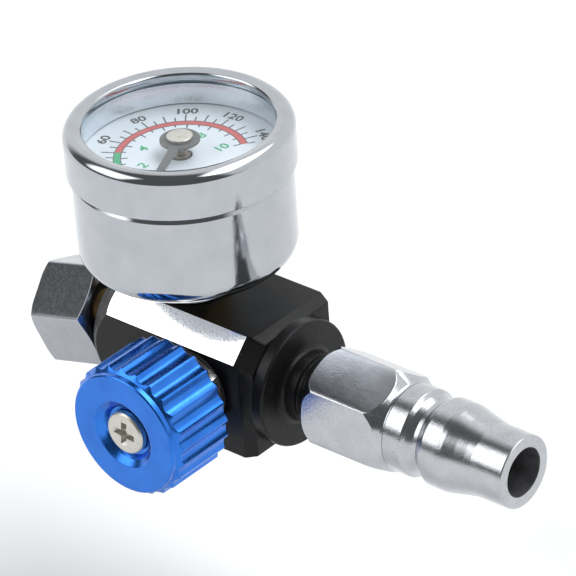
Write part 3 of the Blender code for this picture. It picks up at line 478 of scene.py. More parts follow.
HALF = 11.2
CORNER_LEG = 4.0
LEFT_END, LEFT_END_R, LEFT_CONE_DEG = -15.1, 10.4, 33.4
RIGHT_END = 22.1
BAR_CORNER = (2 * HALF - CORNER_LEG) / math.sqrt(2)
BAR_ANGLES, EDGE_REACH = 240, 0.011  # the reach is the angle over which an edge is rounded
BAR_END_INSET, BEVEL_END_INSET = 0.85, 1.5
SLOPE_START, BEVEL_SLOPE_START = 19.7, 18.7
NUT_PORT_R, COLLAR_R, COLLAR_END = 4.9, 11.5, 24.7
NECK_STEP_R, NECK_ROOT_R, NECK_BORE_R = 6.4, 5.9, 3.2
NECK_THREAD_START, NECK_THREAD_TURNS, NECK_THREAD_R, NECK_THREAD_DEPTH = 28.45, 3.2, 5.95, 0.6
NECK_END = 40.4


def bar_radius(angle, half=HALF, corner_distance=BAR_CORNER):
    """Distance to the bar's surface; local X is up and local Y is towards the knob's side."""
    x, y = math.cos(angle), math.sin(angle)
    reach = half / max(abs(x), abs(y))
    slant = (x + y) / math.sqrt(2)
    if slant > 0:
        reach = min(reach, corner_distance / slant)
    return reach


def bar_angles():
    """Even angles, with closer ones on each edge of the bar."""
    edges = [math.atan2(-1, 1), math.atan2(-1, -1), math.atan2(1, -1)]
    edge = BAR_CORNER * math.sqrt(2) - HALF
    edges += [math.atan2(HALF, edge), math.atan2(edge, HALF)]
    angles = even_angles(BAR_ANGLES)
    clear = EDGE_REACH + 0.001
    for one in edges:
        angles = [a for a in angles if abs((a - one + math.pi) % (2 * math.pi) - math.pi) > clear]
        angles += [one + EDGE_REACH * k / 2 for k in (-2, -1, 0, 1, 2)]
    return sorted(a % (2 * math.pi) for a in angles)


def body_profile(angle):
    side = bar_radius(angle)
    beside = (bar_radius(angle - EDGE_REACH) + bar_radius(angle + EDGE_REACH)) / 2
    side = min(side, (side + beside) / 2 + 0.02)
    cone_x = LEFT_END + (side - LEFT_END_R) / math.tan(math.radians(LEFT_CONE_DEG))
    end = bar_radius(angle, HALF - BAR_END_INSET, BAR_CORNER - BEVEL_END_INSET)
    slant = (math.cos(angle) + math.sin(angle)) / math.sqrt(2)
    on_bevel = slant > 0 and abs(bar_radius(angle) - BAR_CORNER / slant) < 1e-6
    start = BEVEL_SLOPE_START if on_bevel else SLOPE_START
    return [
        corner(NUT_PORT_R, LEFT_END + 0.5),
        corner(NUT_PORT_R, LEFT_END, 0.1, 2),
        corner(LEFT_END_R, LEFT_END, 0.18, 3),
        corner(side, cone_x, 0.25, 3),
        corner(side, start, 0.8, 5),
        corner(end, RIGHT_END, 0.35, 4),
        corner(10.2, RIGHT_END + 0.02, 0.1, 2),
        corner(10.3, RIGHT_END + 0.05, 0.1, 2),
        corner(COLLAR_R, RIGHT_END + 0.1, 0.35, 4),
        corner(COLLAR_R, COLLAR_END, 0.5, 5),
        corner(7.4, COLLAR_END, 0.05, 2),
        corner(6.75, 24.95, 0.2, 3),
        corner(NECK_STEP_R, 25.4, 0.3, 3),
        corner(NECK_STEP_R, 27.5, 0.15, 3),
        corner(NECK_ROOT_R, 27.7, 0.1, 2),
        corner(NECK_ROOT_R, 28.3, 0.1, 2),
        *neck_thread(angle),
        corner(6.1, 40.2),
        corner(5.7, NECK_END),
        corner(NECK_BORE_R, NECK_END),
        corner(NECK_BORE_R, 17.0),
    ]


def neck_thread(angle):
    """The male thread that the plug screws on, which grows over its first steps; little of it shows."""
    points = []
    for k in range(int(NECK_THREAD_TURNS * THREAD_STEPS)):
        station = NECK_THREAD_START + THREAD_PITCH * k / THREAD_STEPS
        rise = thread_rise(station, angle, NECK_THREAD_DEPTH) * min(1.0, (k + 1) / 5)
        points.append(corner(NECK_THREAD_R + rise, station))
    return points


def body_shell():
    shell = spun("body_shell", body_profile, bar_angles(), [M["black"], M["polished"]], False, 24.0)
    for face in shell.data.polygons:
        up, across, along = face.normal
        on_bevel = min(up, across) > 0.69 and abs(along) < 0.08
        if on_bevel and LEFT_END < face.center.z / MM < SLOPE_START - 0.3:
            face.material_index = 1
    place_on(shell, FLOW_ORIGIN, FLOW_AXIS)
    hand_in(shell, "regulator", "body_black", "regulator_body")


# ------------------------------------------------------------------ plug and nut

PLUG_AF, PLUG_TIP = 17.1, 72.3
PLUG_TURN_DEG, NUT_TURN_DEG = 55.0, -73.2
PLUG_HEX_START, PLUG_HEX_END = 30.0, 47.5
PLUG_BORE_R, PLUG_BORE_START, PLUG_THREAD_R = 3.2, 42.0, 6.85
NOSE_BORE_R, NOSE_BORE_START = 4.42, 49.0
NOSE_COLLAR_R, NOSE_GROOVE_R, NOSE_BULB_R, NOSE_END_R = 7.85, 6.7, 7.9, 6.5


def plug_profile(angle):
    """The hexagon's ends are turned down, so they recede more the further out its surface is."""
    side = hex_radius(angle, PLUG_AF)
    beyond = max(0.0, side - PLUG_AF / 2)
    cut = 0.35 * beyond + 1.1 * beyond**2
    rear = (7.77, PLUG_HEX_START), (side, PLUG_HEX_START + 0.95 + cut)
    front = (7.9, PLUG_HEX_END), (side, PLUG_HEX_END - 0.75 - cut)
    return [
        corner(NOSE_BORE_R, NOSE_BORE_START),
        corner(PLUG_BORE_R, NOSE_BORE_START),
        corner(PLUG_BORE_R, PLUG_BORE_START),
        corner(PLUG_THREAD_R, PLUG_BORE_START),
        corner(PLUG_THREAD_R, 30.5),
        corner(7.25, PLUG_HEX_START, 0.1, 2),
        corner(*rear[0], 0.15, 4),
        corner(*rear[1], 0.5, 6),
        corner(*front[1], 0.5, 6),
        corner(*front[0], 0.1, 4),
        corner(7.7, 47.9, 0.25, 3),
        corner(NOSE_COLLAR_R, 48.3, 0.3, 3),
        corner(NOSE_COLLAR_R, 51.8, 0.4, 4),
        corner(7.2, 52.5, 0.1, 2),
        corner(NOSE_GROOVE_R, 53.7, 0.3, 3),
        corner(NOSE_GROOVE_R, 54.6, 0.4, 3),
        corner(7.5, 55.4, 0.5, 4),
        corner(NOSE_BULB_R, 56.2, 1.0, 4),
        corner(NOSE_BULB_R, 59.3, 1.5, 5),
        corner(7.75, 60.3, 1.5, 4),
        corner(7.2, 62.5, 2.0, 4),
        corner(6.8, 64.4, 2.0, 4),
        corner(6.55, 65.8, 1.5, 4),
        corner(NOSE_END_R, PLUG_TIP, 0.3, 4),
        corner(NOSE_BORE_R, PLUG_TIP, 0.12, 3),
    ]


def plug_shell():
    shell = spun("plug_shell", plug_profile, hex_angles(), [M["plug_chrome"], M["bore"]], True)
    for face in shell.data.polygons:
        if face.center.xy.length < (NOSE_BORE_R + 0.08) * MM:
            face.material_index = 1
    place_on(shell, FLOW_ORIGIN, FLOW_AXIS, PLUG_TURN_DEG)
    hand_in(shell, "regulator", "plug_chrome", "quick_connect_plug")


NUT_AF, NUT_REAR, NUT_FRONT = 18.0, 1.06, 14.76
NUT_SHOULDER_R, NUT_SHOULDER, NUT_HEAD_ROOM_R = 4.9, 2.9, 7.0
NUT_THREAD_START, NUT_THREAD_TURNS, NUT_THREAD_R, NUT_THREAD_DEPTH = 9.9, 3, 5.73, 0.62


def nut_profile(angle):
    side = hex_radius(angle, NUT_AF)
    whole = NUT_AF / math.sqrt(3)
    rear = chamfered(side, whole - 2.1, NUT_REAR, -1)
    front = chamfered(side, whole - 1.0, NUT_FRONT, 1)
    thread = []
    for k in range(NUT_THREAD_TURNS * THREAD_STEPS + 1):
        station = NUT_THREAD_START + THREAD_PITCH * k / THREAD_STEPS
        thread.append(corner(NUT_THREAD_R + thread_rise(station, angle, NUT_THREAD_DEPTH), station))
    return [
        corner(NUT_SHOULDER_R, NUT_REAR, 0.15, 3),
        corner(*rear[0], 0.12, 3),
        corner(*rear[1], 0.2, 4),
        corner(*front[1], 0.2, 4),
        corner(*front[0], 0.12, 3),
        corner(6.75, NUT_FRONT, 0.12, 3),
        corner(6.0, NUT_FRONT - 0.7, 0.1, 2),
        *reversed(thread),
        corner(6.4, 9.6),
        corner(NUT_HEAD_ROOM_R, 9.0),
        corner(NUT_HEAD_ROOM_R, NUT_SHOULDER),
        corner(NUT_SHOULDER_R, NUT_SHOULDER, 0.1, 2),
    ]


def nut_shell():
    shell = spun("nut_shell", nut_profile, hex_angles(), [M["nut_chrome"]], True)
    place_on(shell, NUT_ORIGIN, NUT_AXIS, NUT_TURN_DEG)
    hand_in(shell, "nut", "nut_chrome", "swivel_nut")


TAIL_BORE_R, TAIL_THREAD_R, TAIL_NECK_R, TAIL_HEAD_R = 2.0, 4.6, 3.7, 5.1
TAIL_INNER_END, TAIL_HEAD_END = -8.2, -23.3


def tail_shell():
    profile = [
        corner(TAIL_BORE_R, TAIL_INNER_END),
        corner(TAIL_THREAD_R - 0.4, TAIL_INNER_END),
        corner(TAIL_THREAD_R, TAIL_INNER_END - 0.5),
        corner(TAIL_THREAD_R, LEFT_END, 0.1, 2),
        corner(TAIL_NECK_R, LEFT_END - 0.6, 0.3, 3),
        corner(TAIL_NECK_R, -21.0, 0.2, 3),
        corner(TAIL_HEAD_R, -21.1, 0.15, 3),
        corner(TAIL_HEAD_R, -22.3, 0.2, 3),
        corner(3.5, TAIL_HEAD_END, 0.2, 3),
        corner(TAIL_BORE_R, TAIL_HEAD_END, 0.1, 2),
    ]
    turned("tail_shell", profile, "tail", 96, ("regulator", "tail_brass"), ["nut_tailpiece"], FLOW_AXIS)


# ------------------------------------------------------------------ knob, screw and bonnet

CREST_R, VALLEY_R, FLUTES, FLUTE_STEPS = 12.3, 11.72, 24, 16
FLUTE_SHARE = 0.86  # the part of each pitch that the flute takes
KNOB_FACE, KNOB_FLUTES_END, KNOB_REAR = 30.0, 28.9, 16.5
KNOB_STEP_R, KNOB_FACE_R = 11.25, 10.95
RECESS_R, RECESS_FLOOR, KNOB_WEB = 4.6, 28.2, 26.4
STEM_HOLE_R, SCREW_HOLE_R = 3.2, 1.8
KNOB_TURN_DEG, SCREW_TURN_DEG = 2.5, -6.0


def flute_radius(angle):
    pitch = 2 * math.pi / FLUTES
    share = ((angle / pitch) % 1.0 - 0.5) * 2
    if abs(share) >= FLUTE_SHARE:
        return CREST_R
    return CREST_R - (CREST_R - VALLEY_R) * (1 - (share / FLUTE_SHARE) ** 2)


def knob_profile(angle):
    side = flute_radius(angle)
    bevel = KNOB_FLUTES_END - 0.6 * (side - KNOB_STEP_R)
    return [
        corner(STEM_HOLE_R, KNOB_REAR, 0.1, 2),
        corner(side - 0.3, KNOB_REAR, 0.05, 2),
        corner(side, KNOB_REAR + 0.35, 0.1, 2),
        corner(side, bevel - 0.1, 0.18, 3),
        corner(KNOB_STEP_R, KNOB_FLUTES_END, 0.05, 2),
        corner(KNOB_STEP_R, KNOB_FACE - 0.2, 0.25, 3),
        corner(KNOB_FACE_R, KNOB_FACE, 0.25, 4),
        corner(6.4, KNOB_FACE, 0.45, 4),
        corner(5.2, 29.1, 0.2, 3),
        corner(RECESS_R, RECESS_FLOOR, 0.1, 2),
        corner(SCREW_HOLE_R, RECESS_FLOOR),
        corner(SCREW_HOLE_R, KNOB_WEB),
        corner(STEM_HOLE_R, KNOB_WEB),
    ]


def knob_shell():
    angles = even_angles(FLUTES * FLUTE_STEPS)
    shell = spun("knob_shell", knob_profile, angles, [M["blue"], M["blue_face"]], True)
    for face in shell.data.polygons:
        if face.normal.z > 0.9 and face.center.z > (KNOB_FACE - 0.1) * MM:
            face.material_index = 1
    place_on(shell, VALVE_ORIGIN, VALVE_AXIS, KNOB_TURN_DEG)
    hand_in(shell, "knob", "knob_blue", "adjusting_knob")


SCREW_SHANK_R, SCREW_SHANK_END, SCREW_SEAT = 1.5, 19.5, 28.35
CROSS_FLOOR, CROSS_TOP = (1.3, 0.36, 28.5), (2.85, 0.74, 30.4)  # half length, half width, height
CROSS_SHARP_DEG = 28


def screw_cross():
    """The cutter for the screw's cross: two tapered slots at right angles."""
    bm = bmesh.new()
    for turn in (0.0, 90.0):
        rotate = Matrix.Rotation(math.radians(turn), 4, "Z")
        verts = []
        for length, width, height in (CROSS_FLOOR, CROSS_TOP):
            for sx, sy in ((-1, -1), (1, -1), (1, 1), (-1, 1)):
                point = Vector((sx * length * MM, sy * width * MM, height * MM))
                verts.append(bm.verts.new(rotate @ point))
        for face in ((0, 1, 2, 3), (7, 6, 5, 4), (0, 4, 5, 1), (1, 5, 6, 2), (2, 6, 7, 3), (3, 7, 4, 0)):
            bm.faces.new([verts[k] for k in face])
    cutter = piece("screw_cross_cutter", bm, [], weighted=False)
    cutter.hide_render = True
    return cutter


def screw_shell():
    profile = [
        corner(0, SCREW_SHANK_END),
        corner(SCREW_SHANK_R, SCREW_SHANK_END, 0.1, 2),
        corner(SCREW_SHANK_R, SCREW_SEAT, 0.1, 2),
        corner(3.95, SCREW_SEAT, 0.1, 2),
        corner(4.0, 29.3, 0.2, 3),
        corner(3.65, 29.68, 0.35, 5),
        corner(2.0, 29.75, 1.0, 3),
        corner(0, 29.76),
    ]
    shell = lathe("screw_shell", profile, "screw", 96, closed=False)
    cutter = screw_cross()
    shell.modifiers.clear()
    difference = shell.modifiers.new("cross", "BOOLEAN")
    difference.operation, difference.solver, difference.use_self = "DIFFERENCE", "EXACT", True
    difference.object = cutter
    apply_modifiers(shell)
    bpy.data.objects.remove(cutter, do_unlink=True)
    shell.data.set_sharp_from_angle(angle=math.radians(CROSS_SHARP_DEG))
    place_on(shell, VALVE_ORIGIN, VALVE_AXIS, SCREW_TURN_DEG)
    hand_in(shell, "knob", "screw_metal", "knob_screw")


def apply_modifiers(obj):
    """Freezes the modifiers' result in the mesh."""
    graph = bpy.context.evaluated_depsgraph_get()
    made = bpy.data.meshes.new_from_object(obj.evaluated_get(graph))
    obj.modifiers.clear()
    old = obj.data
    obj.data = made
    bpy.data.meshes.remove(old)


BONNET_AF, BONNET_BACK, BONNET_FRONT, BONNET_TURN_DEG = 14.0, 12.2, 16.1, 5.0
BONNET_BORE_R, BONNET_SEAL_R, BONNET_THREAD_R, BONNET_INNER_END = 3.2, 3.75, 5.7, 6.4


def bonnet_profile(angle):
    side = hex_radius(angle, BONNET_AF, 0.25)
    whole = BONNET_AF / math.sqrt(3)
    rear = chamfered(side, whole - 0.35, BONNET_BACK, -1)
    front = chamfered(side, whole - 0.6, BONNET_FRONT, 1)
    return [
        corner(BONNET_BORE_R, HALF),
        corner(BONNET_SEAL_R, HALF),
        corner(BONNET_SEAL_R, BONNET_INNER_END),
        corner(BONNET_THREAD_R - 0.4, BONNET_INNER_END),
        corner(BONNET_THREAD_R, BONNET_INNER_END + 0.4),
        corner(BONNET_THREAD_R, BONNET_BACK, 0.1, 2),
        corner(*rear[0], 0.08, 2),
        corner(*rear[1], 0.12, 3),
        corner(*front[1], 0.12, 3),
        corner(*front[0], 0.08, 2),
        corner(BONNET_BORE_R, BONNET_FRONT, 0.1, 2),
    ]


def bonnet_shell():
    shell = spun("bonnet_shell", bonnet_profile, hex_angles(16), [M["bonnet"]], True)
    place_on(shell, VALVE_ORIGIN, VALVE_AXIS, BONNET_TURN_DEG)
    hand_in(shell, "regulator", "bonnet_metal", "bonnet")


# ------------------------------------------------------------------ gauge


CASE_SEGMENTS = 224
CASE_FLOOR, CASE_R, CASE_INNER_R, CASE_WALL, CASE_ROUND = 18.0, 19.15, 18.4, 0.75, 3.5
CASE_HOLE_R, CASE_SHOULDER, CASE_NECK_R, CASE_TOP = 5.8, 34.9, 18.75, 40.7
BEZEL_FOOT, BEZEL_R, BEZEL_INNER_R, BEZEL_ROUND = 36.15, 20.0, 19.42, 2.05
BEZEL_ROUND_AT, LIP_R, LIP_UNDERSIDE = (17.95, 42.45), 16.6, 43.0
LENS_R, LENS_LOW, LENS_HIGH = 18.2, 41.75, 42.75
GASKET_R, DIAL_R, DIAL_UNDERSIDE, DIAL_HOLE_R = 18.9, 17.9, 36.9, 2.0


def case_shell():
    base_r, rim = CASE_R - CASE_ROUND, CASE_FLOOR + CASE_ROUND
    profile = [
        corner(CASE_HOLE_R, CASE_FLOOR, 0.1, 2),
        corner(base_r, CASE_FLOOR),
        *arc((base_r, rim), CASE_ROUND, range(-81, 0, 9)),
        corner(CASE_R, rim),
        corner(CASE_R + 0.02, 33.0),
        corner(CASE_R, CASE_SHOULDER, 0.15, 3),
        corner(CASE_NECK_R, CASE_SHOULDER + 0.6, 0.05, 2),
        corner(CASE_NECK_R, CASE_TOP),
        corner(CASE_INNER_R, CASE_TOP),
        corner(CASE_INNER_R, rim),
        corner(base_r, CASE_FLOOR + CASE_WALL),
        corner(CASE_HOLE_R, CASE_FLOOR + CASE_WALL),
    ]
    turned("case_shell", profile, "chrome", CASE_SEGMENTS, ("regulator", "case_chrome"), ["gauge_case"])


def bezel_shell():
    profile = [
        corner(BEZEL_INNER_R, BEZEL_FOOT, 0.05, 2),
        corner(BEZEL_R, BEZEL_FOOT, 0.2, 4),
        *arc(BEZEL_ROUND_AT, BEZEL_ROUND, range(0, 91, 5)),
        corner(16.82, 44.15, 0.25, 5),
        corner(LIP_R, 43.9, 0.2, 4),
        corner(LIP_R, 43.05, 0.1, 3),
        corner(16.9, LIP_UNDERSIDE),
        corner(BEZEL_INNER_R, LIP_UNDERSIDE),
    ]
    owner = ("regulator", "bezel_chrome")
    turned("bezel_shell", profile, "bezel_chrome", CASE_SEGMENTS, owner, ["gauge_bezel"])


def lens_shell():
    profile = [
        corner(0, LENS_LOW),
        corner(LENS_R, LENS_LOW, 0.1, 2),
        corner(LENS_R, LENS_HIGH, 0.1, 2),
        corner(0, LENS_HIGH),
    ]
    owner = ("regulator", "lens_clear")
    turned("lens_shell", profile, "lens", 128, owner, ["gauge_lens"], closed=False)


def spacer_shell():
    """The pale inner wall under the lens, with the gasket round the lens's edge."""
    profile = [
        corner(17.5, 37.8, 0.05, 2),
        corner(LENS_R, 37.8),
        corner(LENS_R, 40.95),
        corner(GASKET_R, 40.95),
        corner(GASKET_R, 42.9),
        corner(18.3, 42.9),
        corner(18.25, 41.7),
        corner(17.6, 41.7, 0.1, 3),
    ]
    owner = ("regulator", "seal_white")
    turned("spacer_shell", profile, "ring", 192, owner, ["dial_spacer_ring", "lens_gasket"])


def dial_shell():
    profile = [
        corner(DIAL_HOLE_R, DIAL_UNDERSIDE),
        corner(DIAL_R, DIAL_UNDERSIDE),
        corner(DIAL_R, DIAL_TOP, 0.1, 2),
        corner(DIAL_HOLE_R, DIAL_TOP, 0.06, 2),
    ]
    turned("dial_shell", profile, "dial", 160, ("regulator", "dial_print"), ["dial_plate"])


def dial_place(angle_deg, radius):
    """A point on the dial; angles run clockwise from its 12 o'clock, which faces the nut's side."""
    turn = math.radians(180.0 - angle_deg - DIAL_TURN_DEG)
    return radius * math.cos(turn), radius * math.sin(turn)


PRINT_LOW, PRINT_HIGH = DIAL_TOP + 0.008, DIAL_TOP + 0.03
SCALE_START_DEG, SCALE_SWEEP_DEG = -120.0, 240.0
PSI_TOP, BAR_TOP, GREEN_TOP_PSI = 145, 10, 50
PSI_LINE, BAR_LINE, COLOUR_BAND = (11.59, 11.73), (10.32, 10.46), (10.47, 11.58)
PSI_TICKS = (11.75, 13.0, 13.9)  # start, end of a short one, end of a long one
BAR_TICKS = (10.3, 9.65, 9.15)
TICK_WIDTH = 0.24
PSI_NUMBERS_R, PSI_NUMBER_HEIGHT = 15.0, 1.75
BAR_NUMBERS_R, BAR_NUMBER_HEIGHT = 7.1, 1.8
CAPITAL_SHARE, NUMERAL_BOLD = 0.7, 0.03  # a numeral's height in the font's size; its outline's offset


def add_slab(bm, outline, low=PRINT_LOW, high=PRINT_HIGH):
    bottom = [bm.verts.new((x * MM, y * MM, low * MM)) for x, y in outline]
    top = [bm.verts.new((x * MM, y * MM, high * MM)) for x, y in outline]
    for k in range(len(outline)):
        j = (k + 1) % len(outline)
        bm.faces.new((bottom[k], bottom[j], top[j], top[k]))
    bm.faces.new(bottom[::-1])
    bm.faces.new(top)


def add_band(bm, inner, outer, start_deg, end_deg):
    steps = max(2, int(abs(end_deg - start_deg) / 2))
    angles = [start_deg + (end_deg - start_deg) * k / steps for k in range(steps + 1)]
    rings = []
    for angle in angles:
        corners = []
        for radius, height in (
            (inner, PRINT_LOW),
            (outer, PRINT_LOW),
            (outer, PRINT_HIGH),
            (inner, PRINT_HIGH),
        ):
            x, y = dial_place(angle, radius)
            corners.append(bm.verts.new((x * MM, y * MM, height * MM)))
        rings.append(corners)
    for near, far in zip(rings, rings[1:]):
        for k in range(4):
            bm.faces.new((near[k - 1], near[k], far[k], far[k - 1]))
    bm.faces.new(rings[0])
    bm.faces.new(rings[-1][::-1])


def add_tick(bm, angle, inner, outer):
    across = math.degrees(TICK_WIDTH / 2 / ((inner + outer) / 2))
    outline = [
        dial_place(angle - across, inner),
        dial_place(angle - across, outer),
        dial_place(angle + across, outer),
        dial_place(angle + across, inner),
    ]
    add_slab(bm, outline)


def add_number(bm, text, x, y, height, turn_deg, stretch):
    """Plain numerals from Blender's own font, as a thin solid."""
    curve = bpy.data.curves.new("numeral", "FONT")
    curve.body = text
    curve.align_x, curve.align_y = "CENTER", "CENTER"
    curve.size = height / CAPITAL_SHARE * MM
    curve.offset = NUMERAL_BOLD * MM * height
    curve.extrude = (PRINT_HIGH - PRINT_LOW) / 2 * MM
    curve.resolution_u = 4
    obj = bpy.data.objects.new("numeral", curve)
    bpy.context.scene.collection.objects.link(obj)
    bpy.context.view_layer.update()
    mesh = bpy.data.meshes.new_from_object(obj.evaluated_get(bpy.context.evaluated_depsgraph_get()))
    middle = Vector((x * MM, y * MM, (PRINT_LOW + PRINT_HIGH) / 2 * MM))
    turn = Matrix.Rotation(math.radians(turn_deg), 4, "Z")
    mesh.transform(Matrix.Translation(middle) @ turn @ Matrix.Diagonal((stretch, 1, 1, 1)))
    bm.from_mesh(mesh)
    bpy.data.objects.remove(obj, do_unlink=True)
    bpy.data.curves.remove(curve)
    bpy.data.meshes.remove(mesh)


def finish_print(name, bm, material_name):
    obj = piece(name, bm, [M[material_name]], weighted=False)
    place_on(obj, FLOW_ORIGIN, UP)
    hand_in(obj, "regulator", "dial_print")


def dial_print():
    start, end = SCALE_START_DEG, SCALE_START_DEG + SCALE_SWEEP_DEG
    per_psi = SCALE_SWEEP_DEG / PSI_TOP
    per_bar = SCALE_SWEEP_DEG / BAR_TOP
    green_end = start + GREEN_TOP_PSI * per_psi
    black = bmesh.new()
    for psi in range(0, PSI_TOP + 1, 5):
        near, short, long = PSI_TICKS
        add_tick(black, start + psi * per_psi, near, long if psi % 10 == 0 else short)
    for half in range(0, 2 * BAR_TOP + 1):
        near, short, long = BAR_TICKS
        add_tick(black, start + half * per_bar / 2, long if half % 2 == 0 else short, near)
    add_band(black, *BAR_LINE, start, end)
    add_band(black, *PSI_LINE, start, end)
    for psi in range(0, PSI_TOP, 20):
        angle = start + psi * per_psi
        x, y = dial_place(angle, PSI_NUMBERS_R)
        add_number(black, str(psi), x, y, PSI_NUMBER_HEIGHT, 180.0 - angle - DIAL_TURN_DEG - 90.0, 1.12)
    finish_print("dial_scale", black, "ink_black")
    green = bmesh.new()
    add_band(green, *COLOUR_BAND, start, green_end)
    for bar in range(0, BAR_TOP + 1, 2):
        x, y = dial_place(start + bar * per_bar, BAR_NUMBERS_R)
        add_number(green, str(bar), x, y, BAR_NUMBER_HEIGHT, 90.0 - DIAL_TURN_DEG, 1.1)
    finish_print("dial_green", green, "ink_green")
    red = bmesh.new()
    add_band(red, *COLOUR_BAND, green_end, end)
    finish_print("dial_red", red, "ink_red")


POINTER_LOW, POINTER_HIGH = 40.3, 40.7
POINTER_HUB_R, POINTER_REACH, POINTER_ROOT, POINTER_TIP = 3.5, 12.6, 0.85, 0.62
ARBOR_R, BUSH_R, BUSH_LOW, BUSH_HIGH = 0.62, 0.95, 38.3, 40.25
CAP_LOW, CAP_R = 40.8, 2.3


def pointer_shell():
    """A round hub with a blade that tapers to its tip; half widths and places are along local X."""
    steps = 64
    first = math.asin(POINTER_ROOT / POINTER_HUB_R)
    outline = []
    for k in range(steps + 1):
        angle = first + (2 * math.pi - 2 * first) * k / steps
        outline.append((POINTER_HUB_R * math.cos(angle), POINTER_HUB_R * math.sin(angle)))
    blade = [(5.0, 0.74), (POINTER_REACH - 1.3, POINTER_TIP), (POINTER_REACH, 0.12)]
    outline += [(x, -y) for x, y in blade] + blade[::-1]
    bm = bmesh.new()
    add_slab(bm, outline, POINTER_LOW, POINTER_HIGH)
    top_edges = [e for e in bm.edges if all(v.co.z > (POINTER_HIGH - 0.01) * MM for v in e.verts)]
    bmesh.ops.bevel(bm, geom=top_edges, offset=0.06 * MM, segments=2, affect="EDGES")
    shell = piece("pointer_shell", bm, [M["pointer"]])
    place_on(shell, FLOW_ORIGIN, UP, 180.0 - SCALE_START_DEG - DIAL_TURN_DEG)
    hand_in(shell, "pointer_set", "pointer_black", "pointer")


def hub_and_cap_shells():
    hub = [
        corner(ARBOR_R, BUSH_LOW),
        corner(BUSH_R, BUSH_LOW, 0.05, 2),
        corner(BUSH_R, BUSH_HIGH),
        corner(ARBOR_R, BUSH_HIGH),
    ]
    turned("pointer_hub", hub, "bush", 48, ("pointer_set", "cap_metal"))
    cap = [
        corner(0, CAP_LOW),
        corner(CAP_R - 0.1, CAP_LOW, 0.05, 2),
        corner(CAP_R, 41.35, 0.15, 4),
        corner(0.7, 41.38, 0.1, 3),
        corner(0.3, 41.3, 0.1, 3),
        corner(0, 41.29),
    ]
    turned("cap_shell", cap, "cap", 96, ("pointer_set", "cap_metal"), ["pointer_cap"], closed=False)


# ------------------------------------------------------------------ build

body_shell()
plug_shell()
nut_shell()
tail_shell()
knob_shell()
screw_shell()
bonnet_shell()
case_shell()
bezel_shell()
lens_shell()
spacer_shell()
dial_shell()
dial_print()
pointer_shell()
hub_and_cap_shells()

NODE_LOOKS = {
    "plug_sealing_washer": "rubber",
    "nut_gasket": "seal",
    "bonnet_seal_ring": "rubber",
    "valve_spindle": "brass",
    "spindle_o_ring": "rubber",
    "spindle_clip": "nickel",
    "valve_poppet": "brass",
    "valve_poppet_seal": "rubber",
    "valve_seat": "brass",
    "pointer_arbor": "nickel",
    "gauge_socket": "brass",
    "gauge_stem_seal": "seal",
    "case_screw_outlet_side": "screw",
    "case_screw_inlet_side": "screw",
    "bourdon_tube": "bronze",
    "bourdon_tip": "brass",
    "movement_link": "nickel",
    "sector_gear": "brass",
    "hairspring": "bronze",
    "movement_lower_plate": "brass",
    "movement_upper_plate": "bush",
    "movement_pillar_front": "brass",
    "movement_pillar_back": "brass",
}
for node, look in NODE_LOOKS.items():
    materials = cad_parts[node].data.materials
    if len(materials):
        materials[0] = M[look]
    else:
        materials.append(M[look])

# ------------------------------------------------------------------ floor, light and camera

FLOOR_Z, FLOOR_HALF = -0.04, 6.0  # metres
ROOM_FRONT = 0.14
BACK_WALL, BACK_GLOW, BACK_EDGE = (-0.1, 0.98, -0.1), 1.08, (-0.15, 0.25)
# Softboxes: azimuth from -Y towards +X, elevation, half width, half height (degrees), edge, brightness
SOFTBOXES = (
    (-38.0, 35.0, 20.0, 20.0, 0.12, 2.6),
    (135.0, 62.0, 30.0, 14.0, 0.12, 4.6),
    (104.0, 30.0, 16.0, 28.0, 0.15, 1.0),
)


def studio_floor():
    bm = bmesh.new()
    corners = ((-1, -1), (1, -1), (1, 1), (-1, 1))
    bm.faces.new([bm.verts.new((x * FLOOR_HALF, y * FLOOR_HALF, FLOOR_Z)) for x, y in corners])
    n = Nodes("studio_floor")
    n.set(Roughness=0.9, Specular_IOR_Level=0.1)
    n.link(n.shades(n.noise(40.0, 3.0), (0.94, 0.94, 0.94), (0.955, 0.955, 0.955)), "Base Color")
    floor = piece("studio_floor", bm, [n.material], weighted=False)


CAMERA_AZIMUTH_DEG, CAMERA_ELEVATION_DEG, CAMERA_ROLL_DEG = 42.576, 31.479, -4.285
CAMERA_PLACE = Vector((0.45947, -0.4757, 0.42529))  # metres
FOCAL_MM, SENSOR_MM = 278.2, 36.0


def camera():
    a, e, roll = (math.radians(v) for v in (CAMERA_AZIMUTH_DEG, CAMERA_ELEVATION_DEG, CAMERA_ROLL_DEG))
    ahead = Vector((-math.sin(a) * math.cos(e), math.cos(a) * math.cos(e), -math.sin(e)))
    right = ahead.cross(Vector((0, 0, 1))).normalized()
    up = right.cross(ahead)
    rolled_right = right * math.cos(roll) + up * math.sin(roll)
    rolled_up = up * math.cos(roll) - right * math.sin(roll)
    data = bpy.data.cameras.new("camera")
    data.lens, data.sensor_width, data.sensor_fit = FOCAL_MM, SENSOR_MM, "HORIZONTAL"
    data.clip_start, data.clip_end = 0.01, 50.0
    obj = bpy.data.objects.new("camera", data)
    bpy.context.scene.collection.objects.link(obj)
    basis = Matrix((rolled_right, rolled_up, -ahead)).transposed().to_4x4()
    obj.matrix_world = Matrix.Translation(CAMERA_PLACE) @ basis
    bpy.context.scene.camera = obj


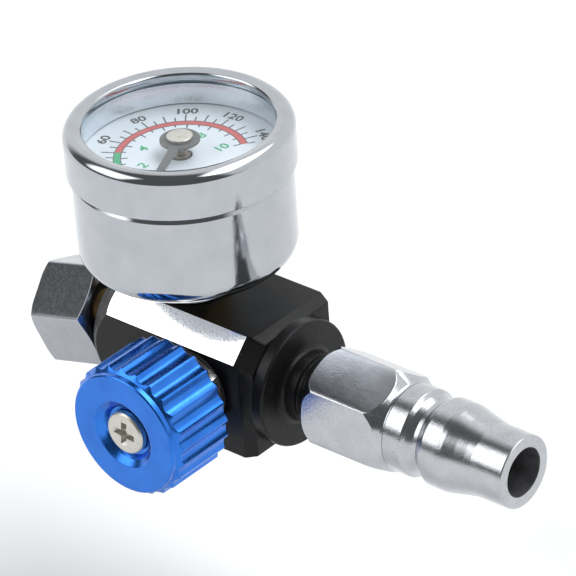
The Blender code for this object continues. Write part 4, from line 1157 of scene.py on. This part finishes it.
def studio_world():
    """A dim room with a bright wall behind the part and three softboxes."""
    world = bpy.data.worlds.new("studio")
    bpy.context.scene.world = world
    world.use_nodes = True
    tree = world.node_tree
    background = tree.nodes["Background"]
    ray = tree.nodes.new("ShaderNodeTexCoord").outputs["Generated"]

    def add(kind, inputs, **settings):
        node = tree.nodes.new("ShaderNode" + kind)
        for key, value in settings.items():
            setattr(node, key, value)
        for key, value in inputs.items():
            if isinstance(value, bpy.types.NodeSocket):
                tree.links.new(value, node.inputs[key])
            else:
                node.inputs[key].default_value = value
        return node

    def step(value, low, high, top=1.0):
        limits = {"Value": value, "From Min": low, "From Max": high, "To Min": 0.0, "To Max": top}
        return add("MapRange", limits, interpolation_type="SMOOTHSTEP").outputs["Result"]

    def along(direction):
        return add("VectorMath", {0: ray, 1: tuple(direction)}, operation="DOT_PRODUCT").outputs["Value"]

    def combine(operation, one, two):
        return add("Math", {0: one, 1: two}, operation=operation).outputs[0]

    towards_wall = along(Vector(BACK_WALL).normalized())
    light = combine("ADD", ROOM_FRONT, step(towards_wall, *BACK_EDGE, BACK_GLOW - ROOM_FRONT))
    for azimuth, elevation, half_width, half_height, soft, glow in SOFTBOXES:
        a, e = math.radians(azimuth), math.radians(elevation)
        ahead = Vector((math.sin(a) * math.cos(e), -math.cos(a) * math.cos(e), math.sin(e)))
        side = ahead.cross(Vector(UP)).normalized()
        depth = combine("MAXIMUM", along(ahead), 0.001)
        inside = step(along(ahead), 0.1, 0.2)
        for axis, half in ((side, half_width), (side.cross(ahead), half_height)):
            reach = combine("ABSOLUTE", combine("DIVIDE", along(axis), depth), 0.0)
            edge = math.tan(math.radians(half))
            inside = combine("MULTIPLY", inside, step(reach, edge + soft, edge - soft))
        light = combine("MAXIMUM", light, combine("MULTIPLY", inside, glow))
    tree.links.new(light, background.inputs["Strength"])
    background.inputs["Color"].default_value = (0.975, 0.99, 1.0, 1)


studio_floor()
studio_world()
camera()
bpy.context.scene.view_settings.view_transform = "Standard"
